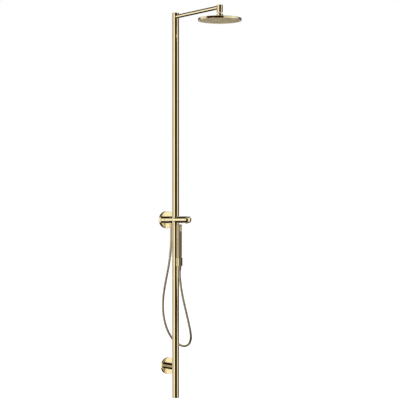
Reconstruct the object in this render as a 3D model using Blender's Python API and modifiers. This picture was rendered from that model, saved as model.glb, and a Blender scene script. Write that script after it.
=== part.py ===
"""Rainfall shower column: wall-fed thermostatic barrel, column, swivelling arm, rain head and hand shower.

Frame: the origin is the centre of the upper wall plate's back face. The wall is the plane y = 0, the
front is -Y, +X is to the right of someone facing the column, and +Z is up. Units are metres.
Round pieces that lie along the barrel are drawn with their local +Z pointing to the front, so their
heights are distances from the wall.
"""
import math

import bmesh
import bpy
from mathutils import Matrix, Vector

# ---- Clearances ---------------------------------------------------------------------------------
GAP = 0.0003                     # between pieces that touch

# ---- Column -------------------------------------------------------------------------------------
COLUMN_RADIUS = 0.020
COLUMN_WALL = 0.0015
COLUMN_OFFSET = 0.103            # wall to column axis
COLUMN_TOP = 1.182               # above the barrel's axis
COLUMN_FOOT = 1.018              # below the barrel's axis
COLUMN_STUB = 0.032              # barrel's axis to each column tube's end
SPIGOT_LENGTH = 0.018            # how far each spigot enters its tube
CAP_THICK = 0.003
RISER_RADIUS = 0.008
RISER_WALL = 0.0015

# ---- Upper wall fixing --------------------------------------------------------------------------
PLATE_RADIUS = 0.042
PLATE_THICK = 0.005
PLATE_SCREW_CIRCLE = 0.031
PLATE_SCREW_HOLE = 0.00275
GASKET_THICK = 0.001
GASKET_WIDTH = 0.004
ROSETTE_RADIUS = 0.049
ROSETTE_WALL = 0.002
ROSETTE_CHAMFER = 0.0015
UPPER_ROSETTE_DEPTH = 0.020      # wall to rosette's front face
INLET_SPACING = 0.042
UNION_RADIUS = 0.0085
UNION_BORE = 0.006
UNION_BACK = 0.0005              # the unions stop short of the wall

# ---- Barrel (valve body) ------------------------------------------------------------------------
BARREL_STEP = 0.0003             # barrel radius beyond the column's
FLANGE_RADIUS = 0.038
FLANGE_FRONT = 0.017
BARREL_BEYOND_COLUMN = 0.008     # barrel's front shoulder, in front of the column
NOSE_RADIUS = 0.0170
NOSE_LENGTH = 0.015
CHAMBER_RADIUS = 0.015
CHAMBER_BACK = 0.030
PASSAGE_RADIUS = 0.0026
CROSSING_RADIUS = 0.0021
PASSAGE_OFFSET = 0.007
PORT_DEPTH = 0.009
UNION_ENTRY = 0.004

# ---- Cartridges and controls --------------------------------------------------------------------
DIVERTER_CARTRIDGE_LENGTH = 0.036
O_RING_THICK = 0.0014
O_RING_WIDTH = 0.0022
CARTRIDGE_NOSE_RADIUS = 0.010
CARTRIDGE_NOSE_LENGTH = 0.022
SPINDLE_RADIUS = 0.004
TEMPERATURE_NUT_RADIUS = 0.012
TEMPERATURE_NUT_LENGTH = 0.011
CONTROL_RADIUS = 0.019
HANDLE_WALL = 0.0016
HANDLE_FRONT = 0.225             # wall to the handle's front edge
HANDLE_HEAD = 0.0135             # solid front end of the handle, which holds the button
KNOB_LENGTH = 0.0178
KNOB_CHAMFER = 0.001
KNOB_DOME = 0.003                # rise of the knob's slightly domed end
KNOB_SOCKET = 0.010
BUTTON_RADIUS = 0.0047
BUTTON_PROUD = 0.005
BUTTON_LENGTH = 0.0097
POCKET_DEPTH = 0.012
SPRING_RADIUS = 0.0033
SPRING_WIRE = 0.0004
SPRING_TURNS = 3

# ---- Hose outlet --------------------------------------------------------------------------------
OUTLET_OFFSET = 0.058            # wall to the outlet's axis
BOSS_RADIUS = 0.0105
BOSS_DEPTH = 0.025               # barrel axis to the boss's lower face
NIPPLE_RADIUS = 0.0075
NIPPLE_BORE = 0.005
NIPPLE_TOP = 0.017
NIPPLE_REACH = 0.012             # below the boss
HOSE_NUT_RADIUS = 0.0098
HOSE_NUT_LENGTH = 0.019

# ---- Column head and arm ------------------------------------------------------------------------
SWIVEL_RADIUS = 0.012
SWIVEL_LENGTH = 0.022
TOP_PLUG_RADIUS = 0.0147
TOP_PLUG_LENGTH = 0.003
ARM_RADIUS = 0.011
ARM_WALL = 0.0016
ARM_COVER = 0.0115               # column top to the arm's upper side
SOCKET_FLOOR = 0.0025            # between the arm's lower side and the swivel spigot
ARM_BACK = 0.001                 # arm end in front of the column's axis
HEAD_REACH = 0.446               # column axis to head axis

# ---- Arm end and ball joint ---------------------------------------------------------------------
CONNECTOR_RADIUS = 0.017
CONNECTOR_COVER = 0.0015         # connector's top above the arm's upper side
CONNECTOR_FLOOR = 0.0002         # connector's shoulder below the arm's lower side
CONNECTOR_SPIGOT = 0.016
CONNECTOR_BORE = 0.006
CONNECTOR_THREAD = 0.014
CONNECTOR_THREAD_LENGTH = 0.0063
UNION_NUT_HEIGHT = 0.0173
UNION_NUT_LIP = 0.0035
UNION_SEAL_THICK = 0.0024
STUD_FLANGE_RADIUS = 0.0136
STUD_STEM_RADIUS = 0.008
STUD_BORE = 0.005
NECK_GAP = 0.001                 # between the union nut and the ball
BALL_RADIUS = 0.013
SEAT_WALL = 0.0019
SEAT_RISE_DEG = 20.0
SEAT_FALL_DEG = -20.0
COLLAR_WALL = 0.0021
COLLAR_RISE = 0.006              # collar top above the ball's centre
COLLAR_FOOT = 0.0025             # collar bottom below the ball's lowest point
BALL_SEAL_INNER = 0.0095
BALL_SEAL_THICK = 0.003

# ---- Rain head ----------------------------------------------------------------------------------
HEAD_RADIUS = 0.120
HEAD_HEIGHT = 0.0130
HEAD_STANDOFF = 0.0055           # ball's lowest point to the head's top face
HEAD_SKIN = 0.002
HEAD_EDGE = 0.001
HEAD_TAPER = 0.001               # the rim is narrower at its top
RIM_WIDTH = 0.0115               # solid rim that the spray plate screws to
RIM_LIP = 0.0025
BOSS_RISE = 0.0035               # boss inside the collar, above its base
HEAD_BORE = 0.009
PLATE_SHEET = 0.0025
MAT_SHEET = 0.002
DISTRIBUTOR_SHEET = 0.0015
DISTRIBUTOR_HOLES = 8
DISTRIBUTOR_HOLE_RADIUS = 0.005
DISTRIBUTOR_CIRCLE = 0.055
NOZZLE_RINGS = 6
NOZZLES_PER_RING = 7
NOZZLE_MARGIN = 0.015
NOZZLE_RADIUS = 0.0019
NOZZLE_CLEARANCE = 0.0004
NOZZLE_PROUD = 0.003
NOZZLE_SIDES = 4
PLATE_SCREWS = 3
PLATE_SCREW_RADIUS = 0.0014
PLATE_SCREW_HEAD = 0.0026
PLATE_SCREW_LENGTH = 0.006

# ---- Hand shower --------------------------------------------------------------------------------
HANDSET_STANDOFF = 0.024         # column surface to the hand shower's axis
HANDSET_RADIUS = 0.012
HANDSET_WALL = 0.0016
HANDSET_TOP = 0.027              # below the barrel's axis
HANDSET_CHAMFER = 0.002
HANDSET_SHOULDER = 0.2167        # below the barrel's axis
SPRAY_TOP = 0.032
SPRAY_BOTTOM = 0.066
SPRAY_HALF_WIDTH = 0.006
SPRAY_WALL = 0.0022
SPRAY_ROWS = 8
SPRAY_COLUMNS = (-0.003, 0.003)
SPRAY_NOZZLE_RADIUS = 0.0007
SPRAY_NOZZLE_PROUD = 0.0006
FOOT_RADIUS = 0.0105
FOOT_LENGTH = 0.017
FOOT_PLUG_LENGTH = 0.016
FOOT_BORE = 0.004
THREAD_RADIUS = 0.007
THREAD_LENGTH = 0.020
INNER_PIPE_RADIUS = 0.006
INNER_PIPE_WALL = 0.0013
CONE_LENGTH = 0.056
CONE_END_RADIUS = 0.0082
CONE_BORE = 0.005

# ---- Hand-shower holder -------------------------------------------------------------------------
HOLDER_RADIUS = 0.016
HOLDER_HEIGHT = 0.046
LINER_WALL = 0.0015
MOUTH_INSET = 0.0001             # the mouth's sides lie just inside its bore
HOLDER_NECK_RADIUS = 0.008
HOLDER_SCREW_RADIUS = 0.0025
HOLDER_SCREW_HEAD_RADIUS = 0.0043
HOLDER_SCREW_HEAD = 0.0024
HOLDER_SCREW_END = 0.008

# ---- Lower wall fixing --------------------------------------------------------------------------
LOWER_FIXING_DROP = 0.841        # below the barrel's axis
SPACER_RADIUS = 0.033
SPACER_THICK = 0.024
SPACER_SCREW_CIRCLE = 0.024
SPACER_BOSS_LENGTH = 0.024
LOWER_ROSETTE_BACK = 0.020
LOWER_ROSETTE_DEPTH = 0.016
STEM_RADIUS = 0.0185
STEM_WALL = 0.003
STEM_WEB = 0.014                 # solid stem behind the column's surface
SEAL_WIDTH = 0.003
SEAL_DEPTH = 0.004
BOLT_RADIUS = 0.003
BOLT_HEAD_RADIUS = 0.0055
BOLT_HEAD = 0.006
ANCHOR_RADIUS = 0.008
ANCHOR_LENGTH = 0.007
GRUB_RADIUS = 0.002
GRUB_OFFSET = 0.042

# ---- Hose ---------------------------------------------------------------------------------------
HOSE_RADIUS = 0.007
HOSE_PITCH = 0.030               # spacing of the tube's sections
HOSE_CLEARANCE = 0.0025          # least gap to the column
HOSE_CROSSING = 17               # the route's point beside the column
HOSE_ROUTE = [                   # x, y, z from the outlet's nut to the hand shower's cone
    (0.0000, -0.0580, -0.0443),
    (0.0000, -0.0580, -0.0800),
    (-0.0003, -0.0577, -0.1180),
    (-0.0021, -0.0563, -0.1600),
    (-0.0060, -0.0535, -0.2080),
    (-0.0115, -0.0498, -0.2560),
    (-0.0185, -0.0452, -0.3020),
    (-0.0264, -0.0400, -0.3520),
    (-0.0341, -0.0349, -0.4040),
    (-0.0386, -0.0318, -0.4500),
    (-0.0401, -0.0309, -0.4960),
    (-0.0381, -0.0322, -0.5380),
    (-0.0328, -0.0357, -0.5770),
    (-0.0245, -0.0412, -0.6130),
    (-0.0142, -0.0492, -0.6450),
    (-0.0018, -0.0596, -0.6730),
    (0.0121, -0.0720, -0.6950),
    (0.0259, -0.0875, -0.7110),
    (0.0386, -0.1063, -0.7205),
    (0.0488, -0.1271, -0.7225),
    (0.0556, -0.1476, -0.7145),
    (0.0583, -0.1644, -0.6975),
    (0.0567, -0.1753, -0.6735),
    (0.0524, -0.1797, -0.6450),
    (0.0458, -0.1787, -0.6110),
    (0.0380, -0.1743, -0.5700),
    (0.0314, -0.1697, -0.5350),
    (0.0239, -0.1647, -0.4970),
    (0.0170, -0.1598, -0.4600),
    (0.0110, -0.1552, -0.4230),
    (0.0060, -0.1515, -0.3850),
    (0.0024, -0.1487, -0.3480),
    (0.0000, -0.1470, -0.3200),
    (0.0000, -0.1470, -0.2903),
]

# ---- Facets -------------------------------------------------------------------------------------
LARGE_STEPS = 32
MEDIUM_STEPS = 24
SMALL_STEPS = 14
TINY_STEPS = 10

# ---- Worked out from the sizes above ------------------------------------------------------------
BARREL_RADIUS = COLUMN_RADIUS + BARREL_STEP
COLUMN_BORE = COLUMN_RADIUS - COLUMN_WALL
SPIGOT_RADIUS = COLUMN_BORE - GAP
BARREL_FRONT = COLUMN_OFFSET + COLUMN_RADIUS + BARREL_BEYOND_COLUMN
NOSE_FRONT = BARREL_FRONT + NOSE_LENGTH
HANDLE_HEAD_BACK = HANDLE_FRONT - HANDLE_HEAD
KNOB_FRONT = HANDLE_FRONT + GAP + KNOB_LENGTH
BUTTON_OFFSET = HANDLE_FRONT - HANDLE_HEAD / 2
ARM_HEIGHT = COLUMN_TOP - ARM_COVER - ARM_RADIUS
HEAD_SEAM = ARM_HEIGHT - ARM_RADIUS - SOCKET_FLOOR - SWIVEL_LENGTH
HEAD_OFFSET = COLUMN_OFFSET + HEAD_REACH
CONNECTOR_SHOULDER = ARM_HEIGHT - ARM_RADIUS - CONNECTOR_FLOOR
UNION_NUT_LOW = CONNECTOR_SHOULDER - UNION_NUT_HEIGHT
BALL_HEIGHT = UNION_NUT_LOW - NECK_GAP - BALL_RADIUS
BALL_CAVITY = BALL_RADIUS + SEAT_WALL + 2 * GAP
COLLAR_RADIUS = BALL_CAVITY + COLLAR_WALL
HEAD_TOP = BALL_HEIGHT - BALL_RADIUS - HEAD_STANDOFF
HEAD_BOTTOM = HEAD_TOP - HEAD_HEIGHT
HANDSET_OFFSET = COLUMN_OFFSET + COLUMN_RADIUS + HANDSET_STANDOFF
HOLDER_TOP = -HANDSET_SHOULDER - GAP
HOLDER_BOTTOM = HOLDER_TOP - HOLDER_HEIGHT
LINER_BORE = FOOT_RADIUS + GAP
FOOT_BOTTOM = -HANDSET_SHOULDER - FOOT_LENGTH
NOZZLE_PITCH = (HEAD_RADIUS - NOZZLE_MARGIN) / NOZZLE_RINGS
STEM_CENTRE = -LOWER_FIXING_DROP

TO_FRONT = (math.pi / 2, 0.0, 0.0)
UPRIGHT = (0.0, 0.0, 0.0)

GOLD = ("polished_gold", (0.87, 0.70, 0.40), 1.0, 0.12)
HOSE_GOLD = ("hose_gold", (0.62, 0.52, 0.33), 1.0, 0.30)
BRASS = ("raw_brass", (0.60, 0.46, 0.22), 1.0, 0.35)
STEEL = ("stainless_steel", (0.55, 0.55, 0.54), 1.0, 0.30)
RUBBER = ("black_rubber", (0.02, 0.02, 0.02), 0.0, 0.70)
SILICONE = ("tan_silicone", (0.34, 0.28, 0.16), 0.0, 0.55)
PLASTIC = ("white_plastic", (0.80, 0.79, 0.76), 0.0, 0.45)
DARK_PLASTIC = ("dark_plastic", (0.06, 0.06, 0.06), 0.0, 0.50)


# ---- Scene and materials ------------------------------------------------------------------------
def clear_scene():
    for item in list(bpy.data.objects):
        bpy.data.objects.remove(item, do_unlink=True)


def new_collection(name):
    found = bpy.data.collections.new(name)
    bpy.context.scene.collection.children.link(found)
    return found


def finish_of(look):
    name, colour, metallic, roughness = look
    found = bpy.data.materials.get(name)
    if found is None:
        found = bpy.data.materials.new(name)
        found.use_nodes = True
        shader = found.node_tree.nodes["Principled BSDF"]
        shader.inputs["Base Color"].default_value = (*colour, 1.0)
        shader.inputs["Metallic"].default_value = metallic
        shader.inputs["Roughness"].default_value = roughness
    return found


# ---- Shapes -------------------------------------------------------------------------------------
def from_wall(distance, across=0.0, up=0.0):
    """The point at a distance from the wall, with its x and z."""
    return Vector((across, -distance, up))


def rod(radius, low, high):
    """Profile of a plain solid cylinder."""
    return [(0.0, high), (radius, high), (radius, low), (0.0, low)]


def ring(outer, inner, low, high):
    """Profile of a plain ring or tube."""
    return [(outer, high), (outer, low), (inner, low), (inner, high)]


def arc(radius, start_deg, end_deg, count, centre=0.0):
    """Points on a circle about the axis point at height centre, by elevation angle."""
    points = []
    for index in range(count + 1):
        angle = math.radians(start_deg + (end_deg - start_deg) * index / count)
        points.append((radius * math.cos(angle), centre + radius * math.sin(angle)))
    return points


def turned(name, profile, look, place=(0.0, 0.0, 0.0), aim=UPRIGHT, steps=MEDIUM_STEPS, group=None):
    """A turned piece: the profile holds (radius, height) pairs that run down its outer side."""
    mesh = bpy.data.meshes.new(name)
    edges = [(index, index + 1) for index in range(len(profile) - 1)]
    if profile[0][0] > 0.0:
        edges.append((len(profile) - 1, 0))
    mesh.from_pydata([(radius, 0.0, height) for radius, height in profile], edges, [])
    mesh.materials.append(finish_of(look))
    piece = bpy.data.objects.new(name, mesh)
    (group or PARTS).objects.link(piece)
    piece.location = place
    piece.rotation_euler = aim
    screw = piece.modifiers.new("Turn", "SCREW")
    screw.angle = math.tau
    screw.steps = steps
    screw.render_steps = steps
    screw.use_merge_vertices = True
    screw.merge_threshold = 0.00001
    screw.use_smooth_shade = True
    return piece


def as_tool(piece):
    piece.hide_render = True
    piece.display_type = "WIRE"
    return piece


def combine(target, tool, operation):
    modifier = target.modifiers.new(operation.title(), "BOOLEAN")
    modifier.operation = operation
    modifier.solver = "EXACT"
    modifier.object = tool


def straight_tool(name, radius, start, end, steps=SMALL_STEPS):
    """A cylinder between two points, used to cut or extend a piece."""
    start, end = Vector(start), Vector(end)
    mesh = bpy.data.meshes.new(name)
    shape = bmesh.new()
    bmesh.ops.create_cone(shape, cap_ends=True, segments=steps, radius1=radius, radius2=radius,
                          depth=(end - start).length)
    shape.to_mesh(mesh)
    shape.free()
    tool = bpy.data.objects.new(name, mesh)
    TOOLS.objects.link(tool)
    tool.location = (start + end) / 2
    tool.rotation_mode = "QUATERNION"
    tool.rotation_quaternion = (end - start).to_track_quat("Z", "Y")
    return as_tool(tool)


def block_tool(name, low, high):
    """A box between two corners, used to cut a piece or keep part of it."""
    low, high = Vector(low), Vector(high)
    mesh = bpy.data.meshes.new(name)
    shape = bmesh.new()
    bmesh.ops.create_cube(shape, size=1.0)
    bmesh.ops.scale(shape, vec=high - low, verts=shape.verts)
    shape.to_mesh(mesh)
    shape.free()
    tool = bpy.data.objects.new(name, mesh)
    TOOLS.objects.link(tool)
    tool.location = (low + high) / 2
    return as_tool(tool)


def stud_field_tool(name, points, radius, start, end, steps):
    """Many equal parallel cylinders in one tool: each runs from its point plus start to plus end."""
    start, end = Vector(start), Vector(end)
    turn = (end - start).to_track_quat("Z", "Y").to_matrix().to_4x4()
    mesh = bpy.data.meshes.new(name)
    shape = bmesh.new()
    for point in points:
        centre = Matrix.Translation(Vector(point) + (start + end) / 2)
        bmesh.ops.create_cone(shape, cap_ends=True, segments=steps, radius1=radius, radius2=radius,
                              depth=(end - start).length, matrix=centre @ turn)
    shape.to_mesh(mesh)
    shape.free()
    tool = bpy.data.objects.new(name, mesh)
    TOOLS.objects.link(tool)
    return as_tool(tool)


def drill(target, radius, start, end, steps=SMALL_STEPS):
    combine(target, straight_tool(target.name + "_drill", radius, start, end, steps), "DIFFERENCE")


def column_clearance(name):
    """The column with its clearance, for saddle-shaped ends that meet it."""
    return straight_tool(name, COLUMN_RADIUS + GAP, from_wall(COLUMN_OFFSET, up=-COLUMN_FOOT),
                         from_wall(COLUMN_OFFSET, up=COLUMN_TOP), LARGE_STEPS)


def pivot(name, place):
    """An empty on a joint's axis, for the pieces that move with it."""
    empty = bpy.data.objects.new(name, None)
    empty.empty_display_size = 0.05
    empty.location = place
    PARTS.objects.link(empty)
    return empty


def hang(parent, *children):
    for child in children:
        child.parent = parent
        child.matrix_parent_inverse = Matrix.Translation(-parent.location)


def along_front(name, profile, look, height=0.0, across=0.0, steps=MEDIUM_STEPS):
    """A turned piece whose axis points to the front; its heights are distances from the wall."""
    return turned(name, profile, look, (across, 0.0, height), TO_FRONT, steps)


def upright(name, profile, look, offset=COLUMN_OFFSET, steps=MEDIUM_STEPS):
    """A turned piece on a vertical axis at an offset from the wall."""
    return turned(name, profile, look, (0.0, -offset, 0.0), UPRIGHT, steps)


# ---- Wall fixings -------------------------------------------------------------------------------
def rosette_profile(outer, hole, back, front):
    """A shallow cup, open towards the wall, with a hole for the pipe."""
    return [(outer - ROSETTE_CHAMFER, front), (outer, front - ROSETTE_CHAMFER), (outer, back),
            (outer - ROSETTE_WALL, back), (outer - ROSETTE_WALL, front - ROSETTE_WALL),
            (hole, front - ROSETTE_WALL), (hole, front)]


def build_upper_fixing():
    plate = along_front("upper_wall_plate", rod(PLATE_RADIUS, 0.0, PLATE_THICK), BRASS)
    for side, name in ((-1, "hot_inlet_union"), (1, "cold_inlet_union")):
        across = side * INLET_SPACING / 2
        drill(plate, UNION_RADIUS + GAP, from_wall(-PLATE_THICK, across), from_wall(2 * PLATE_THICK, across))
        front = PLATE_THICK + GAP + UNION_ENTRY
        along_front(name, ring(UNION_RADIUS, UNION_BORE, UNION_BACK, front), BRASS, across=across,
                    steps=SMALL_STEPS)
        for up in (-1, 1):
            slant = PLATE_SCREW_CIRCLE * math.sqrt(0.5)
            drill(plate, PLATE_SCREW_HOLE, from_wall(-PLATE_THICK, side * slant, up * slant),
                  from_wall(2 * PLATE_THICK, side * slant, up * slant), steps=TINY_STEPS)
    along_front("upper_wall_gasket",
                ring(ROSETTE_RADIUS, ROSETTE_RADIUS - GASKET_WIDTH, 0.0, GASKET_THICK), RUBBER)
    along_front("upper_rosette", rosette_profile(ROSETTE_RADIUS, BARREL_RADIUS + GAP,
                GASKET_THICK + GAP, UPPER_ROSETTE_DEPTH), GOLD, steps=LARGE_STEPS)


def build_lower_fixing():
    boss_radius = STEM_RADIUS - STEM_WALL - GAP
    boss_front = SPACER_THICK + SPACER_BOSS_LENGTH
    plate = along_front("lower_wall_plate",
                        [(0.0, boss_front), (boss_radius, boss_front), (boss_radius, SPACER_THICK),
                         (SPACER_RADIUS, SPACER_THICK), (SPACER_RADIUS, 0.0), (0.0, 0.0)], BRASS,
                        height=STEM_CENTRE)
    for up in (-1, 1):
        height = STEM_CENTRE + up * SPACER_SCREW_CIRCLE
        drill(plate, PLATE_SCREW_HOLE, from_wall(-SPACER_THICK, up=height),
              from_wall(2 * SPACER_THICK, up=height), steps=TINY_STEPS)
    front = LOWER_ROSETTE_BACK + LOWER_ROSETTE_DEPTH
    along_front("lower_rosette", rosette_profile(ROSETTE_RADIUS, STEM_RADIUS + GAP,
                LOWER_ROSETTE_BACK, front), GOLD, height=STEM_CENTRE, steps=LARGE_STEPS)
    seal_front = front - ROSETTE_WALL - GAP
    along_front("lower_rosette_seal", ring(STEM_RADIUS + GAP + SEAL_WIDTH, STEM_RADIUS + GAP,
                seal_front - SEAL_DEPTH, seal_front), RUBBER, height=STEM_CENTRE)
    build_lower_stem(boss_radius)


def build_lower_stem(boss_radius):
    web_back = COLUMN_OFFSET - COLUMN_RADIUS - STEM_WEB
    bore = STEM_RADIUS - STEM_WALL
    back = SPACER_THICK + GAP
    stem = along_front("lower_stem",
                       [(0.0, COLUMN_OFFSET), (STEM_RADIUS, COLUMN_OFFSET), (STEM_RADIUS, back),
                        (bore, back), (bore, web_back), (0.0, web_back)], GOLD, height=STEM_CENTRE)
    combine(stem, column_clearance("stem_saddle"), "DIFFERENCE")
    drill(stem, BOLT_RADIUS + GAP, from_wall(web_back - STEM_WEB, up=STEM_CENTRE),
          from_wall(COLUMN_OFFSET, up=STEM_CENTRE))
    drill(stem, GRUB_RADIUS + GAP, from_wall(GRUB_OFFSET, up=STEM_CENTRE - 2 * STEM_RADIUS),
          from_wall(GRUB_OFFSET, up=STEM_CENTRE - boss_radius / 2), steps=TINY_STEPS)
    anchor_back = COLUMN_OFFSET - math.sqrt(COLUMN_BORE ** 2 - ANCHOR_RADIUS ** 2) + GAP
    anchor_front = anchor_back + ANCHOR_LENGTH
    head_front = web_back - GAP
    along_front("column_bolt",
                [(0.0, anchor_front), (BOLT_RADIUS, anchor_front), (BOLT_RADIUS, head_front),
                 (BOLT_HEAD_RADIUS, head_front), (BOLT_HEAD_RADIUS, head_front - BOLT_HEAD),
                 (0.0, head_front - BOLT_HEAD)], STEEL, height=STEM_CENTRE, steps=TINY_STEPS)
    along_front("column_anchor_nut", ring(ANCHOR_RADIUS, BOLT_RADIUS + GAP, anchor_back, anchor_front),
                STEEL, height=STEM_CENTRE, steps=TINY_STEPS)
    turned("stem_grub_screw", rod(GRUB_RADIUS, -STEM_RADIUS + GAP, -boss_radius - GAP), STEEL,
           from_wall(GRUB_OFFSET, up=STEM_CENTRE), steps=TINY_STEPS)


# ---- Valve body, cartridges and controls --------------------------------------------------------
def build_valve_body():
    body = along_front("valve_body",
                       [(0.0, NOSE_FRONT), (NOSE_RADIUS, NOSE_FRONT), (NOSE_RADIUS, BARREL_FRONT),
                        (BARREL_RADIUS, BARREL_FRONT), (BARREL_RADIUS, FLANGE_FRONT),
                        (FLANGE_RADIUS, FLANGE_FRONT), (FLANGE_RADIUS, PLATE_THICK + GAP),
                        (0.0, PLATE_THICK + GAP)], GOLD, steps=LARGE_STEPS)
    spigot_end = COLUMN_STUB + SPIGOT_LENGTH
    stub = turned("valve_stub",
                  [(0.0, spigot_end), (SPIGOT_RADIUS, spigot_end), (SPIGOT_RADIUS, COLUMN_STUB),
                   (COLUMN_RADIUS, COLUMN_STUB), (COLUMN_RADIUS, -COLUMN_STUB),
                   (SPIGOT_RADIUS, -COLUMN_STUB), (SPIGOT_RADIUS, -spigot_end), (0.0, -spigot_end)],
                  GOLD, from_wall(COLUMN_OFFSET), steps=LARGE_STEPS, group=TOOLS)
    combine(body, as_tool(stub), "UNION")
    boss = straight_tool("outlet_boss", BOSS_RADIUS, from_wall(OUTLET_OFFSET, up=-BOSS_DEPTH),
                         from_wall(OUTLET_OFFSET, up=-CHAMBER_RADIUS / 2), MEDIUM_STEPS)
    combine(body, boss, "UNION")
    drill(body, CHAMBER_RADIUS, from_wall(CHAMBER_BACK), from_wall(2 * NOSE_FRONT), MEDIUM_STEPS)
    drill(body, RISER_RADIUS + GAP, from_wall(COLUMN_OFFSET), from_wall(COLUMN_OFFSET, up=2 * spigot_end))
    drill(body, NIPPLE_RADIUS + GAP, from_wall(OUTLET_OFFSET, up=-2 * BOSS_DEPTH),
          from_wall(OUTLET_OFFSET, up=-CHAMBER_RADIUS / 2))
    drill_inlets(body)
    return body


def drill_inlets(body):
    """Each inlet port turns inwards and then runs forwards into the cartridge chamber."""
    port_front = PLATE_THICK + GAP + PORT_DEPTH
    turn_at = (PLATE_THICK + GAP + UNION_ENTRY + port_front) / 2
    for side in (-1, 1):
        across = side * INLET_SPACING / 2
        drill(body, UNION_RADIUS + GAP, from_wall(0.0, across), from_wall(port_front, across))
        drill(body, PASSAGE_RADIUS, from_wall(turn_at - PASSAGE_RADIUS, side * PASSAGE_OFFSET),
              from_wall(CHAMBER_BACK + PASSAGE_RADIUS, side * PASSAGE_OFFSET), TINY_STEPS)
        drill(body, CROSSING_RADIUS, from_wall(turn_at, side * PASSAGE_OFFSET),
              from_wall(turn_at, across), TINY_STEPS)


def grooved_profile(radius, inner, low, high, grooves):
    """A tube whose outer side has an O-ring groove at each height in grooves, listed downwards."""
    depth = O_RING_THICK + GAP
    half = O_RING_WIDTH / 2 + GAP
    points = [(radius, high)]
    for height in grooves:
        points += [(radius, height + half), (radius - depth, height + half),
                   (radius - depth, height - half), (radius, height - half)]
    return points + [(radius, low), (inner, low), (inner, high)]


def build_cartridges():
    radius = CHAMBER_RADIUS - GAP
    spindle_hole = SPINDLE_RADIUS + GAP
    rear = CHAMBER_BACK + GAP
    split = rear + DIVERTER_CARTRIDGE_LENGTH
    shoulder = BARREL_FRONT + GAP
    nose = shoulder + CARTRIDGE_NOSE_LENGTH
    along_front("diverter_cartridge", ring(radius, spindle_hole, rear, split), PLASTIC)
    low = split + GAP
    grooves = [shoulder - 3 * O_RING_WIDTH, low + 3 * O_RING_WIDTH]
    body = grooved_profile(radius, spindle_hole, low, nose, grooves)
    step = [(CARTRIDGE_NOSE_RADIUS, nose), (CARTRIDGE_NOSE_RADIUS, shoulder), (radius, shoulder)]
    along_front("thermostat_cartridge", step + body[1:], BRASS)
    for name, height in zip(("cartridge_o_ring_front", "cartridge_o_ring_rear"), grooves):
        along_front(name, ring(radius, radius - O_RING_THICK, height - O_RING_WIDTH / 2,
                    height + O_RING_WIDTH / 2), RUBBER)
    along_front("cartridge_retaining_nut",
                ring(radius, CARTRIDGE_NOSE_RADIUS + GAP, shoulder + GAP, NOSE_FRONT), BRASS)
    nut_back = nose + GAP
    along_front("temperature_nut", ring(TEMPERATURE_NUT_RADIUS, spindle_hole, nut_back,
                nut_back + TEMPERATURE_NUT_LENGTH), DARK_PLASTIC)
    build_handle(nut_back, spindle_hole)
    build_diverter(rear)


def build_handle(nut_back, spindle_hole):
    bore = CONTROL_RADIUS - HANDLE_WALL
    web = TEMPERATURE_NUT_RADIUS + GAP
    web_front = nut_back + TEMPERATURE_NUT_LENGTH
    handle = along_front("temperature_handle",
                         [(CONTROL_RADIUS, HANDLE_FRONT), (CONTROL_RADIUS, BARREL_FRONT + GAP),
                          (bore, BARREL_FRONT + GAP), (bore, nut_back), (web, nut_back),
                          (web, web_front), (bore, web_front), (bore, HANDLE_HEAD_BACK),
                          (spindle_hole, HANDLE_HEAD_BACK), (spindle_hole, HANDLE_FRONT)],
                         GOLD, steps=LARGE_STEPS)
    pocket_top = -CONTROL_RADIUS + POCKET_DEPTH
    drill(handle, BUTTON_RADIUS + GAP, from_wall(BUTTON_OFFSET, up=-2 * CONTROL_RADIUS),
          from_wall(BUTTON_OFFSET, up=pocket_top))
    low = -CONTROL_RADIUS - BUTTON_PROUD
    high = low + BUTTON_LENGTH
    turned("safety_stop_button", rod(BUTTON_RADIUS, low, high), GOLD, from_wall(BUTTON_OFFSET),
           steps=SMALL_STEPS)
    build_spring(high + GAP + SPRING_WIRE, pocket_top - GAP - SPRING_WIRE)


def build_spring(low, high):
    """The button's return spring: a helix between two heights."""
    count = SPRING_TURNS * 8
    points = []
    for index in range(count + 1):
        angle = math.tau * SPRING_TURNS * index / count
        points.append((SPRING_RADIUS * math.cos(angle), SPRING_RADIUS * math.sin(angle),
                       low + (high - low) * index / count))
    wire("safety_button_spring", points, SPRING_WIRE, STEEL, from_wall(BUTTON_OFFSET), 0)


def build_diverter(rear):
    socket_front = HANDLE_FRONT + GAP + KNOB_SOCKET
    along_front("diverter_spindle", rod(SPINDLE_RADIUS, rear + GAP, socket_front - GAP), STEEL,
                steps=MEDIUM_STEPS)
    hole = SPINDLE_RADIUS + GAP
    back = HANDLE_FRONT + GAP
    face = CONTROL_RADIUS - KNOB_CHAMFER
    sphere = (face ** 2 + KNOB_DOME ** 2) / (2 * KNOB_DOME)
    rim_deg = math.degrees(math.acos(face / sphere))
    dome = arc(sphere, 90.0, rim_deg, 4, KNOB_FRONT - sphere)
    along_front("diverter_knob",
                [(0.0, KNOB_FRONT)] + dome[1:] +
                [(CONTROL_RADIUS, KNOB_FRONT - KNOB_DOME - KNOB_CHAMFER), (CONTROL_RADIUS, back),
                 (hole, back), (hole, socket_front), (0.0, socket_front)], GOLD, steps=LARGE_STEPS)


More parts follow.
